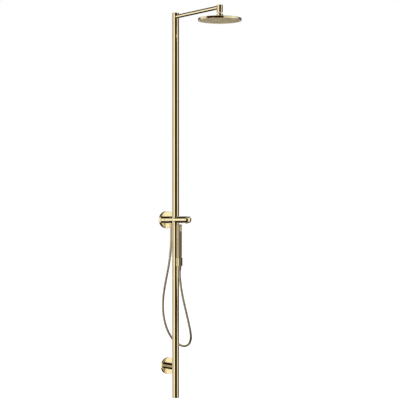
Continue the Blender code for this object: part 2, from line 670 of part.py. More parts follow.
# ---- Column -------------------------------------------------------------------------------------
def build_column():
    upper_end = HEAD_SEAM - GAP
    lower_end = -COLUMN_FOOT + CAP_THICK + GAP
    upright("upper_column_tube", ring(COLUMN_RADIUS, COLUMN_BORE, COLUMN_STUB + GAP, upper_end), GOLD,
            steps=LARGE_STEPS)
    lower = upright("lower_column_tube", ring(COLUMN_RADIUS, COLUMN_BORE, lower_end, -COLUMN_STUB - GAP),
                    GOLD, steps=LARGE_STEPS)
    screw_height = (HOLDER_TOP + HOLDER_BOTTOM) / 2
    drill(lower, HOLDER_SCREW_RADIUS + GAP, from_wall(COLUMN_OFFSET, up=screw_height),
          from_wall(HANDSET_OFFSET, up=screw_height), steps=TINY_STEPS)
    drill(lower, BOLT_RADIUS + GAP, from_wall(COLUMN_OFFSET, up=STEM_CENTRE),
          from_wall(COLUMN_OFFSET - 2 * COLUMN_RADIUS, up=STEM_CENTRE), steps=TINY_STEPS)
    upright("column_bottom_cap",
            [(0.0, lower_end + SPIGOT_LENGTH), (SPIGOT_RADIUS, lower_end + SPIGOT_LENGTH),
             (SPIGOT_RADIUS, lower_end - GAP), (COLUMN_RADIUS, lower_end - GAP),
             (COLUMN_RADIUS, -COLUMN_FOOT), (0.0, -COLUMN_FOOT)], GOLD)
    riser_low = COLUMN_STUB + SPIGOT_LENGTH / 3
    riser_high = HEAD_SEAM - SPIGOT_LENGTH
    upright("riser_pipe", ring(RISER_RADIUS, RISER_RADIUS - RISER_WALL, riser_low, riser_high), PLASTIC,
            steps=SMALL_STEPS)
    build_swivel(riser_high)


def build_swivel(riser_high):
    """The fixed spigot in the column's top, which the column head turns on."""
    bottom = riser_high - SPIGOT_LENGTH
    top = HEAD_SEAM + SWIVEL_LENGTH
    bore = RISER_RADIUS + GAP
    throat = RISER_RADIUS - RISER_WALL
    grooves = [HEAD_SEAM + 0.75 * SWIVEL_LENGTH, HEAD_SEAM + 0.35 * SWIVEL_LENGTH]
    neck = grooved_profile(SWIVEL_RADIUS, throat, HEAD_SEAM - GAP, top, grooves)
    upright("swivel_spigot",
            neck[:-2] + [(SPIGOT_RADIUS, HEAD_SEAM - GAP), (SPIGOT_RADIUS, bottom), (bore, bottom),
                         (bore, riser_high + GAP), (throat, riser_high + GAP), (throat, top)], BRASS)
    for name, height in zip(("swivel_o_ring_upper", "swivel_o_ring_lower"), grooves):
        upright(name, ring(SWIVEL_RADIUS, SWIVEL_RADIUS - O_RING_THICK, height - O_RING_WIDTH / 2,
                height + O_RING_WIDTH / 2), RUBBER)


def build_column_head():
    cap_low = COLUMN_TOP - CAP_THICK
    plug, recess = TOP_PLUG_RADIUS + GAP, cap_low - TOP_PLUG_LENGTH - GAP
    bore, bore_top = SWIVEL_RADIUS + GAP, HEAD_SEAM + SWIVEL_LENGTH + GAP
    head = upright("column_head",
                   [(0.0, recess), (plug, recess), (plug, cap_low - GAP), (COLUMN_RADIUS, cap_low - GAP),
                    (COLUMN_RADIUS, HEAD_SEAM), (bore, HEAD_SEAM), (bore, bore_top), (0.0, bore_top)],
                   GOLD, steps=LARGE_STEPS)
    axis = COLUMN_OFFSET
    drill(head, RISER_RADIUS - RISER_WALL, from_wall(axis, up=HEAD_SEAM), from_wall(axis, up=ARM_HEIGHT))
    drill(head, ARM_RADIUS + GAP, from_wall(axis - ARM_RADIUS / 2, up=ARM_HEIGHT),
          from_wall(axis + 2 * COLUMN_RADIUS, up=ARM_HEIGHT), MEDIUM_STEPS)
    cap = upright("column_top_cap",
                  [(0.0, COLUMN_TOP), (COLUMN_RADIUS, COLUMN_TOP), (COLUMN_RADIUS, cap_low),
                   (TOP_PLUG_RADIUS, cap_low), (TOP_PLUG_RADIUS, cap_low - TOP_PLUG_LENGTH),
                   (0.0, cap_low - TOP_PLUG_LENGTH)], GOLD)
    return [head, cap]


# ---- Arm and its end ----------------------------------------------------------------------------
def build_arm():
    bore = ARM_RADIUS - ARM_WALL
    arm = along_front("shower_arm", ring(ARM_RADIUS, bore, COLUMN_OFFSET + ARM_BACK, HEAD_OFFSET), GOLD,
                      height=ARM_HEIGHT)
    saddle = straight_tool("arm_saddle", CONNECTOR_RADIUS + GAP,
                           from_wall(HEAD_OFFSET, up=ARM_HEIGHT - 2 * ARM_RADIUS),
                           from_wall(HEAD_OFFSET, up=ARM_HEIGHT + 2 * ARM_RADIUS), LARGE_STEPS)
    combine(arm, saddle, "DIFFERENCE")
    shoulder = CONNECTOR_SHOULDER
    thread_low = shoulder - CONNECTOR_THREAD_LENGTH
    top = ARM_HEIGHT + ARM_RADIUS + CONNECTOR_COVER
    connector = upright("arm_connector",
                        [(0.0, top), (CONNECTOR_RADIUS, top), (CONNECTOR_RADIUS, shoulder),
                         (CONNECTOR_THREAD, shoulder), (CONNECTOR_THREAD, thread_low),
                         (0.0, thread_low)], GOLD, HEAD_OFFSET, LARGE_STEPS)
    entry = HEAD_OFFSET - CONNECTOR_RADIUS - CONNECTOR_SPIGOT
    spigot = straight_tool("connector_spigot", bore - GAP, from_wall(entry, up=ARM_HEIGHT),
                           from_wall(HEAD_OFFSET, up=ARM_HEIGHT), MEDIUM_STEPS)
    combine(connector, spigot, "UNION")
    drill(connector, CONNECTOR_BORE, from_wall(entry - CONNECTOR_SPIGOT, up=ARM_HEIGHT),
          from_wall(HEAD_OFFSET, up=ARM_HEIGHT))
    drill(connector, CONNECTOR_BORE + GAP, from_wall(HEAD_OFFSET, up=thread_low - CONNECTOR_SPIGOT),
          from_wall(HEAD_OFFSET, up=ARM_HEIGHT + CONNECTOR_BORE))
    return [arm, connector] + build_union(shoulder, thread_low)


def build_union(shoulder, thread_low):
    """The nut that clamps the ball stud's flange and its seal under the connector."""
    nut_low = UNION_NUT_LOW
    lip_top = nut_low + UNION_NUT_LIP
    bore = CONNECTOR_THREAD + GAP
    lip = STUD_STEM_RADIUS + GAP
    nut = upright("union_nut",
                  [(CONNECTOR_RADIUS, shoulder - GAP), (CONNECTOR_RADIUS, nut_low), (lip, nut_low),
                   (lip, lip_top), (bore, lip_top), (bore, shoulder - GAP)], GOLD, HEAD_OFFSET,
                  LARGE_STEPS)
    seal_top = thread_low - GAP
    seal_low = seal_top - UNION_SEAL_THICK
    seal = upright("union_seal", ring(STUD_FLANGE_RADIUS, CONNECTOR_BORE, seal_low, seal_top), RUBBER,
                   HEAD_OFFSET)
    flange_top = seal_low - GAP
    flange_low = lip_top + GAP
    start = math.degrees(math.acos(STUD_STEM_RADIUS / BALL_RADIUS))
    end = -math.degrees(math.acos(STUD_BORE / BALL_RADIUS)) + 10.0
    ball = arc(BALL_RADIUS, start, end, 8, BALL_HEIGHT)
    stud = upright("ball_stud",
                   [(STUD_FLANGE_RADIUS, flange_top), (STUD_FLANGE_RADIUS, flange_low),
                    (STUD_STEM_RADIUS, flange_low)] + ball +
                   [(STUD_BORE, ball[-1][1]), (STUD_BORE, flange_top)], GOLD, HEAD_OFFSET)
    return [nut, seal, stud]


# ---- Rain head ----------------------------------------------------------------------------------
def build_ball_seat():
    inner = BALL_RADIUS + GAP
    outer = inner + SEAT_WALL
    profile = arc(outer, SEAT_RISE_DEG, SEAT_FALL_DEG, 3, BALL_HEIGHT)
    profile += arc(inner, SEAT_FALL_DEG, SEAT_RISE_DEG, 3, BALL_HEIGHT)
    return upright("ball_seat", profile, DARK_PLASTIC, HEAD_OFFSET)


def build_collar():
    """The collar nut, hollowed to a sphere about the ball's centre, and the seal under the ball."""
    cavity = BALL_CAVITY
    top_deg = math.degrees(math.asin(COLLAR_RISE / cavity))
    hollow = arc(cavity, -25.0, top_deg, 4, BALL_HEIGHT)
    low = BALL_HEIGHT - BALL_RADIUS - COLLAR_FOOT
    top = BALL_HEIGHT + COLLAR_RISE
    collar = upright("collar_nut", [(COLLAR_RADIUS, top), (COLLAR_RADIUS, low), (hollow[0][0], low)]
                     + hollow, GOLD, HEAD_OFFSET, LARGE_STEPS)
    boss_radius = hollow[0][0] - GAP
    boss_top = HEAD_TOP + HEAD_SKIN + BOSS_RISE
    seal = upright("ball_seal", ring(boss_radius, BALL_SEAL_INNER, boss_top + GAP,
                   boss_top + GAP + BALL_SEAL_THICK), RUBBER, HEAD_OFFSET)
    return [collar, seal], boss_radius, boss_top, low - GAP


def build_head_shell(boss_radius, boss_top, base_top):
    rim_inner = HEAD_RADIUS - RIM_WIDTH
    lip_inner = HEAD_RADIUS - RIM_LIP
    ledge = HEAD_BOTTOM + PLATE_SHEET + GAP
    ceiling = HEAD_TOP - HEAD_SKIN
    shell = upright("head_top_shell",
                    [(boss_radius, boss_top), (boss_radius, base_top), (COLLAR_RADIUS, base_top),
                     (COLLAR_RADIUS, HEAD_TOP), (HEAD_RADIUS - HEAD_TAPER - HEAD_EDGE, HEAD_TOP),
                     (HEAD_RADIUS - HEAD_TAPER, HEAD_TOP - HEAD_EDGE), (HEAD_RADIUS, HEAD_BOTTOM),
                     (lip_inner, HEAD_BOTTOM), (lip_inner, ledge), (rim_inner, ledge),
                     (rim_inner, ceiling), (HEAD_BORE, ceiling), (HEAD_BORE, boss_top)], GOLD,
                    HEAD_OFFSET, LARGE_STEPS)
    screw_circle = (rim_inner + lip_inner) / 2
    plate = upright("spray_plate", rod(lip_inner - GAP, HEAD_BOTTOM, HEAD_BOTTOM + PLATE_SHEET), GOLD,
                    HEAD_OFFSET, LARGE_STEPS)
    pieces = [shell, plate]
    for index in range(PLATE_SCREWS):
        angle = math.tau * (index + 0.5) / PLATE_SCREWS
        place = from_wall(HEAD_OFFSET + screw_circle * math.cos(angle), screw_circle * math.sin(angle))
        head_top = HEAD_BOTTOM + PLATE_SHEET / 2
        tip = HEAD_BOTTOM + PLATE_SCREW_LENGTH
        drill(plate, PLATE_SCREW_RADIUS + GAP, place + Vector((0, 0, HEAD_BOTTOM - HEAD_HEIGHT)),
              place + Vector((0, 0, HEAD_TOP)), TINY_STEPS)
        drill(plate, PLATE_SCREW_HEAD + GAP, place + Vector((0, 0, HEAD_BOTTOM - HEAD_HEIGHT)),
              place + Vector((0, 0, head_top + GAP)), TINY_STEPS)
        drill(shell, PLATE_SCREW_RADIUS + GAP, place + Vector((0, 0, HEAD_BOTTOM - HEAD_HEIGHT)),
              place + Vector((0, 0, tip + GAP)), TINY_STEPS)
        pieces.append(turned(f"spray_plate_screw_{index + 1}",
                             [(0.0, tip), (PLATE_SCREW_RADIUS, tip), (PLATE_SCREW_RADIUS, head_top),
                              (PLATE_SCREW_HEAD, head_top), (PLATE_SCREW_HEAD, HEAD_BOTTOM),
                              (0.0, HEAD_BOTTOM)], STEEL, place, steps=TINY_STEPS))
    return pieces + build_head_core(plate, rim_inner - GAP)


def nozzle_points():
    """Rings of nozzles about the head's axis, on the plane z = 0."""
    points = []
    for number in range(1, NOZZLE_RINGS + 1):
        count = NOZZLES_PER_RING * number
        for index in range(count):
            angle = math.tau * index / count
            reach = number * NOZZLE_PITCH
            points.append((reach * math.sin(angle), -HEAD_OFFSET + reach * math.cos(angle), 0.0))
    return points


def build_head_core(plate, core_radius):
    """The silicone mat whose nozzles pass through the spray plate, and the distributor above it."""
    mat_low = HEAD_BOTTOM + PLATE_SHEET + GAP
    mat_top = mat_low + MAT_SHEET
    points = nozzle_points()
    holes = stud_field_tool("nozzle_holes", points, NOZZLE_RADIUS + NOZZLE_CLEARANCE,
                            (0, 0, HEAD_BOTTOM - PLATE_SHEET), (0, 0, mat_top), NOZZLE_SIDES)
    combine(plate, holes, "DIFFERENCE")
    mat = upright("nozzle_mat", rod(core_radius, mat_low, mat_top), SILICONE, HEAD_OFFSET, LARGE_STEPS)
    tips = stud_field_tool("nozzle_tips", points, NOZZLE_RADIUS, (0, 0, HEAD_BOTTOM - NOZZLE_PROUD),
                           (0, 0, mat_low + MAT_SHEET / 2), NOZZLE_SIDES)
    combine(mat, tips, "UNION")
    low = mat_top + GAP
    disc = upright("distributor_disc", rod(core_radius, low, low + DISTRIBUTOR_SHEET), PLASTIC,
                   HEAD_OFFSET, LARGE_STEPS)
    ports = []
    for index in range(DISTRIBUTOR_HOLES):
        angle = math.tau * index / DISTRIBUTOR_HOLES
        ports.append((DISTRIBUTOR_CIRCLE * math.cos(angle),
                      -HEAD_OFFSET + DISTRIBUTOR_CIRCLE * math.sin(angle), 0.0))
    openings = stud_field_tool("distributor_ports", ports, DISTRIBUTOR_HOLE_RADIUS,
                               (0, 0, mat_low), (0, 0, HEAD_TOP), TINY_STEPS)
    combine(disc, openings, "DIFFERENCE")
    return [mat, disc]


# ---- Hand shower, its holder and the hose -------------------------------------------------------
def build_handset():
    top, shoulder = -HANDSET_TOP, -HANDSET_SHOULDER
    bore = HANDSET_RADIUS - HANDSET_WALL
    shell = upright("handset_shell",
                    [(0.0, top), (HANDSET_RADIUS - HANDSET_CHAMFER, top),
                     (HANDSET_RADIUS, top - HANDSET_CHAMFER), (HANDSET_RADIUS, shoulder),
                     (bore, shoulder), (bore, top - HANDSET_CHAMFER), (0.0, top - HANDSET_CHAMFER)],
                    GOLD, HANDSET_OFFSET)
    window = block_tool("spray_window",
                        (-SPRAY_HALF_WIDTH, -HANDSET_OFFSET - 2 * HANDSET_RADIUS, -SPRAY_BOTTOM),
                        (SPRAY_HALF_WIDTH, -HANDSET_OFFSET - HANDSET_RADIUS / 2, -SPRAY_TOP))
    combine(shell, window, "DIFFERENCE")
    insert = upright("handset_spray_insert",
                     ring(HANDSET_RADIUS - GAP, HANDSET_RADIUS - SPRAY_WALL, -SPRAY_BOTTOM - GAP,
                          -SPRAY_TOP + GAP), SILICONE, HANDSET_OFFSET)
    keep = block_tool("spray_keep",
                      (-SPRAY_HALF_WIDTH + GAP, -HANDSET_OFFSET - 2 * HANDSET_RADIUS, -SPRAY_BOTTOM + GAP),
                      (SPRAY_HALF_WIDTH - GAP, -HANDSET_OFFSET - HANDSET_RADIUS / 2, -SPRAY_TOP - GAP))
    combine(insert, keep, "INTERSECT")
    points = []
    for column in SPRAY_COLUMNS:
        surface = math.sqrt(HANDSET_RADIUS ** 2 - column ** 2)
        for row in range(SPRAY_ROWS):
            height = SPRAY_TOP + (SPRAY_BOTTOM - SPRAY_TOP) * (row + 0.5) / SPRAY_ROWS
            points.append((column, -HANDSET_OFFSET - surface, -height))
    tips = stud_field_tool("handset_tips", points, SPRAY_NOZZLE_RADIUS, (0, SPRAY_WALL / 2, 0),
                           (0, -SPRAY_NOZZLE_PROUD, 0), NOZZLE_SIDES)
    combine(insert, tips, "UNION")
    return build_handset_core(shoulder, bore) + [shell, insert]


def build_handset_core(shoulder, bore):
    plug_top = shoulder + FOOT_PLUG_LENGTH
    thread_low = FOOT_BOTTOM - THREAD_LENGTH
    foot = upright("handset_foot",
                   [(bore - GAP, plug_top), (bore - GAP, shoulder - GAP), (FOOT_RADIUS, shoulder - GAP),
                    (FOOT_RADIUS, FOOT_BOTTOM), (THREAD_RADIUS, FOOT_BOTTOM), (THREAD_RADIUS, thread_low),
                    (FOOT_BORE, thread_low), (FOOT_BORE, plug_top)], GOLD, HANDSET_OFFSET)
    pipe = upright("handset_inner_pipe",
                   ring(INNER_PIPE_RADIUS, INNER_PIPE_RADIUS - INNER_PIPE_WALL, plug_top + GAP,
                        -SPRAY_BOTTOM), PLASTIC, HANDSET_OFFSET, SMALL_STEPS)
    return [foot, pipe]


def build_hose_fittings():
    cone_top = FOOT_BOTTOM - GAP
    cone_low = cone_top - CONE_LENGTH
    bore = THREAD_RADIUS + GAP
    bore_low = FOOT_BOTTOM - THREAD_LENGTH - GAP
    taper = cone_top - CONE_LENGTH / 2
    upright("hose_cone",
            [(FOOT_RADIUS, cone_top), (FOOT_RADIUS, taper), (CONE_END_RADIUS, cone_low),
             (CONE_BORE, cone_low), (CONE_BORE, bore_low), (bore, bore_low), (bore, cone_top)], GOLD,
            HANDSET_OFFSET)
    nipple_low = -BOSS_DEPTH - NIPPLE_REACH
    upright("hose_outlet_nipple", ring(NIPPLE_RADIUS, NIPPLE_BORE, nipple_low, -NIPPLE_TOP), BRASS,
            OUTLET_OFFSET, SMALL_STEPS)
    nut_top = -BOSS_DEPTH - GAP
    nut_low = nut_top - HOSE_NUT_LENGTH + GAP
    nut_bore = NIPPLE_RADIUS + GAP
    upright("hose_outlet_nut",
            [(HOSE_NUT_RADIUS, nut_top), (HOSE_NUT_RADIUS, nut_low), (NIPPLE_BORE, nut_low),
             (NIPPLE_BORE, nipple_low - GAP), (nut_bore, nipple_low - GAP), (nut_bore, nut_top)], GOLD,
            OUTLET_OFFSET)


def build_holder():
    cup_bore = LINER_BORE + LINER_WALL + GAP
    middle = (HOLDER_TOP + HOLDER_BOTTOM) / 2
    holder = upright("handset_holder", rod(HOLDER_RADIUS, HOLDER_BOTTOM, HOLDER_TOP), GOLD,
                     HANDSET_OFFSET, LARGE_STEPS)
    neck = straight_tool("holder_neck", HOLDER_NECK_RADIUS, from_wall(COLUMN_OFFSET, up=middle),
                         from_wall(HANDSET_OFFSET, up=middle), MEDIUM_STEPS)
    combine(holder, neck, "UNION")
    combine(holder, column_clearance("holder_saddle"), "DIFFERENCE")
    open_fork(holder, cup_bore)
    back = HANDSET_OFFSET - cup_bore
    drill(holder, HOLDER_SCREW_RADIUS + GAP, from_wall(COLUMN_OFFSET, up=middle),
          from_wall(HANDSET_OFFSET, up=middle), TINY_STEPS)
    head_back = back - HOLDER_SCREW_HEAD
    drill(holder, HOLDER_SCREW_HEAD_RADIUS + GAP, from_wall(head_back - GAP, up=middle),
          from_wall(HANDSET_OFFSET, up=middle), TINY_STEPS)
    tip = COLUMN_OFFSET + COLUMN_BORE - HOLDER_SCREW_END
    along_front("holder_screw",
                [(0.0, back - GAP), (HOLDER_SCREW_HEAD_RADIUS, back - GAP),
                 (HOLDER_SCREW_HEAD_RADIUS, head_back), (HOLDER_SCREW_RADIUS, head_back),
                 (HOLDER_SCREW_RADIUS, tip), (0.0, tip)], STEEL, height=middle, steps=TINY_STEPS)
    liner = upright("holder_liner", ring(LINER_BORE + LINER_WALL, LINER_BORE, HOLDER_BOTTOM, HOLDER_TOP),
                    DARK_PLASTIC, HANDSET_OFFSET)
    reach = 2 * HOLDER_RADIUS
    front = block_tool("liner_front", (-reach, -HANDSET_OFFSET - reach, HOLDER_BOTTOM - HOLDER_HEIGHT),
                       (reach, -HANDSET_OFFSET + MOUTH_INSET, HOLDER_TOP + HOLDER_HEIGHT))
    combine(liner, front, "DIFFERENCE")


def open_fork(piece, radius):
    """A bore with straight sides to the front, so that the hand shower's foot slides in and out."""
    margin = HOLDER_HEIGHT / 4
    drill(piece, radius, from_wall(HANDSET_OFFSET, up=HOLDER_BOTTOM - margin),
          from_wall(HANDSET_OFFSET, up=HOLDER_TOP + margin), MEDIUM_STEPS)
    half = radius - MOUTH_INSET
    mouth = block_tool(piece.name + "_mouth",
                       (-half, -HANDSET_OFFSET - 2 * HOLDER_RADIUS, HOLDER_BOTTOM - margin),
                       (half, -HANDSET_OFFSET, HOLDER_TOP + margin))
    combine(piece, mouth, "DIFFERENCE")


def smooth_route(points, pitch):
    """Evenly spaced points on a Catmull-Rom curve through the route's points."""
    knots = [Vector(point) for point in points]
    knots = [2 * knots[0] - knots[1]] + knots + [2 * knots[-1] - knots[-2]]
    fine = []
    for index in range(1, len(knots) - 2):
        before, start, end, after = knots[index - 1:index + 3]
        for part in range(20):
            t = part / 20
            fine.append(0.5 * (2 * start + (end - before) * t
                               + (2 * before - 5 * start + 4 * end - after) * t ** 2
                               + (3 * start - before - 3 * end + after) * t ** 3))
    fine.append(knots[-2])
    lengths = [0.0]
    for first, second in zip(fine, fine[1:]):
        lengths.append(lengths[-1] + (second - first).length)
    count = round(lengths[-1] / pitch)
    spaced = []
    cursor = 0
    for step in range(count + 1):
        target = lengths[-1] * step / count
        while cursor < len(fine) - 2 and lengths[cursor + 1] < target:
            cursor += 1
        share = (target - lengths[cursor]) / (lengths[cursor + 1] - lengths[cursor])
        spaced.append(fine[cursor].lerp(fine[cursor + 1], min(share, 1.0)))
    return spaced


def hose_points():
    """The route, kept clear of the column and led on to the hand shower's axis."""
    shift = HANDSET_OFFSET + HOSE_ROUTE[-1][1]
    least = COLUMN_RADIUS + HOSE_RADIUS + HOSE_CLEARANCE
    points = []
    for index, (x, y, z) in enumerate(HOSE_ROUTE):
        share = min(1.0, max(0.0, (index - HOSE_CROSSING) / (len(HOSE_ROUTE) - 2 - HOSE_CROSSING)))
        axis = from_wall(COLUMN_OFFSET, up=z)
        away = Vector((x, y - shift * share, z)) - axis
        points.append(axis + away * max(1.0, least / away.length))
    return points


def wire(name, points, radius, look, place=(0.0, 0.0, 0.0), roundness=2):
    """A round wire, tube or hose along a list of points, with closed ends."""
    curve = bpy.data.curves.new(name, "CURVE")
    curve.dimensions = "3D"
    spline = curve.splines.new("POLY")
    spline.points.add(len(points) - 1)
    for point, (x, y, z) in zip(spline.points, points):
        point.co = (x, y, z, 1.0)
    curve.bevel_depth = radius
    curve.bevel_resolution = roundness
    curve.use_fill_caps = True
    curve.materials.append(finish_of(look))
    piece = bpy.data.objects.new(name, curve)
    PARTS.objects.link(piece)
    piece.location = place
    return piece


# ---- Assembly -----------------------------------------------------------------------------------
def build():
    build_upper_fixing()
    build_lower_fixing()
    build_valve_body()
    build_cartridges()
    build_column()
    build_holder()
    build_hose_fittings()
    build_handset()
    wire("hose", smooth_route(hose_points(), HOSE_PITCH), HOSE_RADIUS, HOSE_GOLD)
    arm_swivel = pivot("arm_swivel", from_wall(COLUMN_OFFSET, up=ARM_HEIGHT))
    hang(arm_swivel, *build_column_head(), *build_arm())
    head_tilt = pivot("head_tilt", from_wall(HEAD_OFFSET, up=BALL_HEIGHT))
    collar_pieces, boss_radius, boss_top, base_top = build_collar()
    hang(head_tilt, build_ball_seat(), *collar_pieces, *build_head_shell(boss_radius, boss_top, base_top))


clear_scene()
PARTS = new_collection("rainfall_shower_column")
TOOLS = new_collection("cutters")
build()
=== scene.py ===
"""Looks of the rainfall shower column: fine turned pieces, hose, finishes, studio and camera.

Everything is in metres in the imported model's frame: the wall is the plane y = 0, the front is -Y,
and +Z is up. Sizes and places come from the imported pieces' boxes.
"""

import math

import bmesh
import bpy
from mathutils import Matrix, Vector
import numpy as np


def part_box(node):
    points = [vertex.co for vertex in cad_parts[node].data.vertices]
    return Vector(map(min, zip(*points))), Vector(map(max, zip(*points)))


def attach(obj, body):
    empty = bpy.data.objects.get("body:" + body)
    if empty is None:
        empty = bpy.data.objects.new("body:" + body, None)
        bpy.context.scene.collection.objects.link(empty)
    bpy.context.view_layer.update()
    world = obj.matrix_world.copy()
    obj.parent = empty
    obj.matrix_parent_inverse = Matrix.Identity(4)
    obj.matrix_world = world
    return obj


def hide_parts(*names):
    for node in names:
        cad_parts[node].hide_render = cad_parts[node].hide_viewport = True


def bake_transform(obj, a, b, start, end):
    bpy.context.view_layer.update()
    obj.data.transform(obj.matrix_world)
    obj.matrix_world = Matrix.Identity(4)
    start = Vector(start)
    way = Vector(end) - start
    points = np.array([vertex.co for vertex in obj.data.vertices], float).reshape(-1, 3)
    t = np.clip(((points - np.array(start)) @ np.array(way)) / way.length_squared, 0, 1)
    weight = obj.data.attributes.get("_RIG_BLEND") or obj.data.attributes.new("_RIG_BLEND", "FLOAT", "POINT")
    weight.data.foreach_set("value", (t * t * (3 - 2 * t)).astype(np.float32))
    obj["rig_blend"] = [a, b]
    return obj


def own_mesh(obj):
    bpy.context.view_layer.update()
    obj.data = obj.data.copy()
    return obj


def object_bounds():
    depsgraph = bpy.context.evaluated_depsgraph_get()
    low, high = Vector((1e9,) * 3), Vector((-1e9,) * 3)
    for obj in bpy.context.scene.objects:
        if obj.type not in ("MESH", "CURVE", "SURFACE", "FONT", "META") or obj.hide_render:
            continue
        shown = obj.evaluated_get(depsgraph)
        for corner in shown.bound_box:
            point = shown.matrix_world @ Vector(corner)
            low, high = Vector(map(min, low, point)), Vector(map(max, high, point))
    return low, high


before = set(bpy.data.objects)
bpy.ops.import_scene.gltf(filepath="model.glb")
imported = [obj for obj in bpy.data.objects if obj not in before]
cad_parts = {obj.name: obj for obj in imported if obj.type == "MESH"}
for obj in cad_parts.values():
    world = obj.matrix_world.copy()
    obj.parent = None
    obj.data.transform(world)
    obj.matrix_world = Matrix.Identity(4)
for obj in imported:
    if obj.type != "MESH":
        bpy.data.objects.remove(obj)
cad_low, cad_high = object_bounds()

# ---- Clearances, edges and facets ----
GAP = 0.0003  # between pieces that touch, as in the CAD
EDGE = 0.0004  # usual rounding of a turned edge
SOFT_EDGE = 0.0010
FINE_EDGE = 0.0003
ROUND_STEPS = 4
VERY_FINE = 192
FINE = 128
MEDIUM = 72
SMALL = 36
TINY = 20
SHARP_ANGLE = math.radians(32)

# ---- Walls and hollows that a piece's box doesn't give ----
COLUMN_WALL = 0.0015
ARM_WALL = 0.0016
ROSETTE_WALL = 0.002
ROSETTE_EDGE = 0.0017
CHAMBER_RADIUS = 0.015
CHAMBER_BACK = 0.030
BARREL_STEP = 0.0003
SPIGOT_LENGTH = 0.018
HANDLE_WALL = 0.0016
HANDLE_HEAD = 0.0135
POCKET_DEPTH = 0.012
KNOB_DOME = 0.003
SPRING_WIRE = 0.0004
SPRING_TURNS = 3
GASKET_WIDTH = 0.004
INLET_PASSAGE = 0.006
INLET_SOCKET_DEPTH = 0.009
BARREL_FLANGE_FRONT = 0.017
BARREL_NOSE = 0.017
BOSS_RADIUS = 0.0105
BARREL_PASSAGE = 0.0083
OUTLET_PASSAGE = 0.0078
OUTLET_PASSAGE_TOP = -0.0075
CAP_PLUG = 0.0147
SWIVEL_SOCKET = 0.0123
COLUMN_HEAD_PASSAGE = 0.0065
ARM_PASSAGE = 0.006
DROP_PASSAGE = 0.0063
CONNECTOR_THREAD = 0.014
UNION_LIP = 0.0035
BALL_STEM = 0.008
BALL_RADIUS = 0.013
BALL_NECK = 0.001
COLLAR_CAVITY = 0.0155
COLLAR_RISE = 0.006  # ball's centre to the collar's top
STEM_WALL = 0.003
STEM_WEB = 0.014
HEAD_THICKNESS = 0.013
HEAD_SKIN = 0.002
RIM_WIDTH = 0.0115
RIM_LIP = 0.0025
HEAD_BORE = 0.009
HEAD_TAPER = 0.001
NOZZLE_RINGS = 6
NOZZLES_PER_RING = 7
NOZZLE_MARGIN = 0.015
NOZZLE_RADIUS = 0.0019
NOZZLE_TIP_RADIUS = 0.0014
NOZZLE_BORE = 0.0006
NOZZLE_BORE_DEPTH = 0.0015
NOZZLE_TIP = 0.0016
NOZZLE_ROOT = 0.001
HANDSET_WALL = 0.0016
HANDSET_END = 0.002
HANDSET_THREAD = 0.007
HANDSET_PASSAGE = 0.004
SPRAY_WALL = 0.0022
SPRAY_MARGIN = 0.01
SPRAY_NOZZLE = 0.0007
SPRAY_NOZZLE_BORE = 0.0003
SPRAY_NOZZLE_PROUD = 0.0006
SPRAY_NOZZLE_ROOT = 0.0011
SPRAY_HALF_WIDTH = 0.006
SPRAY_ROWS = 8
SPRAY_COLUMNS = (-0.003, 0.003)
HOLDER_RADIUS = 0.016
HOLDER_NECK = 0.008
HOSE_PASSAGE = 0.005
CONE_FOOT = 0.0082

# ---- Fixings, by radius unless named otherwise ----
WALL_HOLE = 0.00275
WALL_HOLE_CIRCLE = 0.031
COUNTERSINK = 0.0047
COUNTERSINK_DEPTH = 0.002
LOWER_HOLE_OFFSET = 0.024
LOWER_PLATE_DEPTH = 0.024
COLUMN_BOLT_HOLE = 0.0033
HOLDER_SCREW = 0.0025
HOLDER_SCREW_HEAD = 0.0043
HOLDER_SCREW_HEAD_DEPTH = 0.0024
PLATE_SCREW = 0.0014
PLATE_SCREW_HEAD = 0.0026
PLATE_SCREW_HEAD_DEPTH = 0.00125
SMALL_SOCKET = 0.0011
LARGE_SOCKET = 0.0019
HEX = 6
THROUGH = 0.01  # how far a drill runs past a piece

# ---- Hose: the route's points are the ones that the CAD's hose follows ----
HOSE_RADIUS = 0.007
HOSE_RIB_PITCH = 0.0032
HOSE_RIB_DEPTH = 0.00022
HOSE_ROUTE = [  # x, y, z from the outlet's nut to the hand shower's cone
    (0, -0.058, -0.0443), (0, -0.058, -0.08), (-0.0003, -0.0577, -0.118),
    (-0.0021, -0.0563, -0.16), (-0.006, -0.0535, -0.208), (-0.0115, -0.0498, -0.256),
    (-0.0185, -0.0452, -0.302), (-0.0264, -0.04, -0.352), (-0.0341, -0.0349, -0.404),
    (-0.0386, -0.0318, -0.45), (-0.0401, -0.0309, -0.496), (-0.0381, -0.0322, -0.538),
    (-0.0328, -0.0357, -0.577), (-0.0245, -0.0412, -0.613), (-0.0142, -0.0492, -0.645),
    (-0.0018, -0.0596, -0.673), (0.0121, -0.072, -0.695), (0.0259, -0.0875, -0.711),
    (0.0386, -0.1063, -0.7205), (0.0488, -0.1271, -0.7225), (0.0556, -0.1476, -0.7145),
    (0.0583, -0.1644, -0.6975), (0.0567, -0.1753, -0.6735), (0.0524, -0.1797, -0.645),
    (0.0458, -0.1787, -0.611), (0.038, -0.1743, -0.57), (0.0314, -0.1697, -0.535),
    (0.0239, -0.1647, -0.497), (0.017, -0.1598, -0.46), (0.011, -0.1552, -0.423),
    (0.006, -0.1515, -0.385), (0.0024, -0.1487, -0.348), (0, -0.147, -0.32),
    (0, -0.147, -0.2903),
]
HOSE_FOLLOW = Vector((-6.0, -16.8, 2.0))  # how fast the hose takes up the hand shower's motion

# ---- Camera and studio ----
VIEW_AZIMUTH = math.radians(33.68)  # camera to the left of the front
VIEW_DISTANCE = 8.200  # camera to the column's axis, along the view
VIEW_SIDE = 0.1396  # camera to the right of the column's axis
VIEW_HEIGHT = -0.0123
LENS = 129.1
SENSOR = 36.0
SHIFT_UP = 0.0547
FLOOR_DROP = 0.06
FLOOR_SIZE = 60.0
FLOOR_GLOW = 0.35


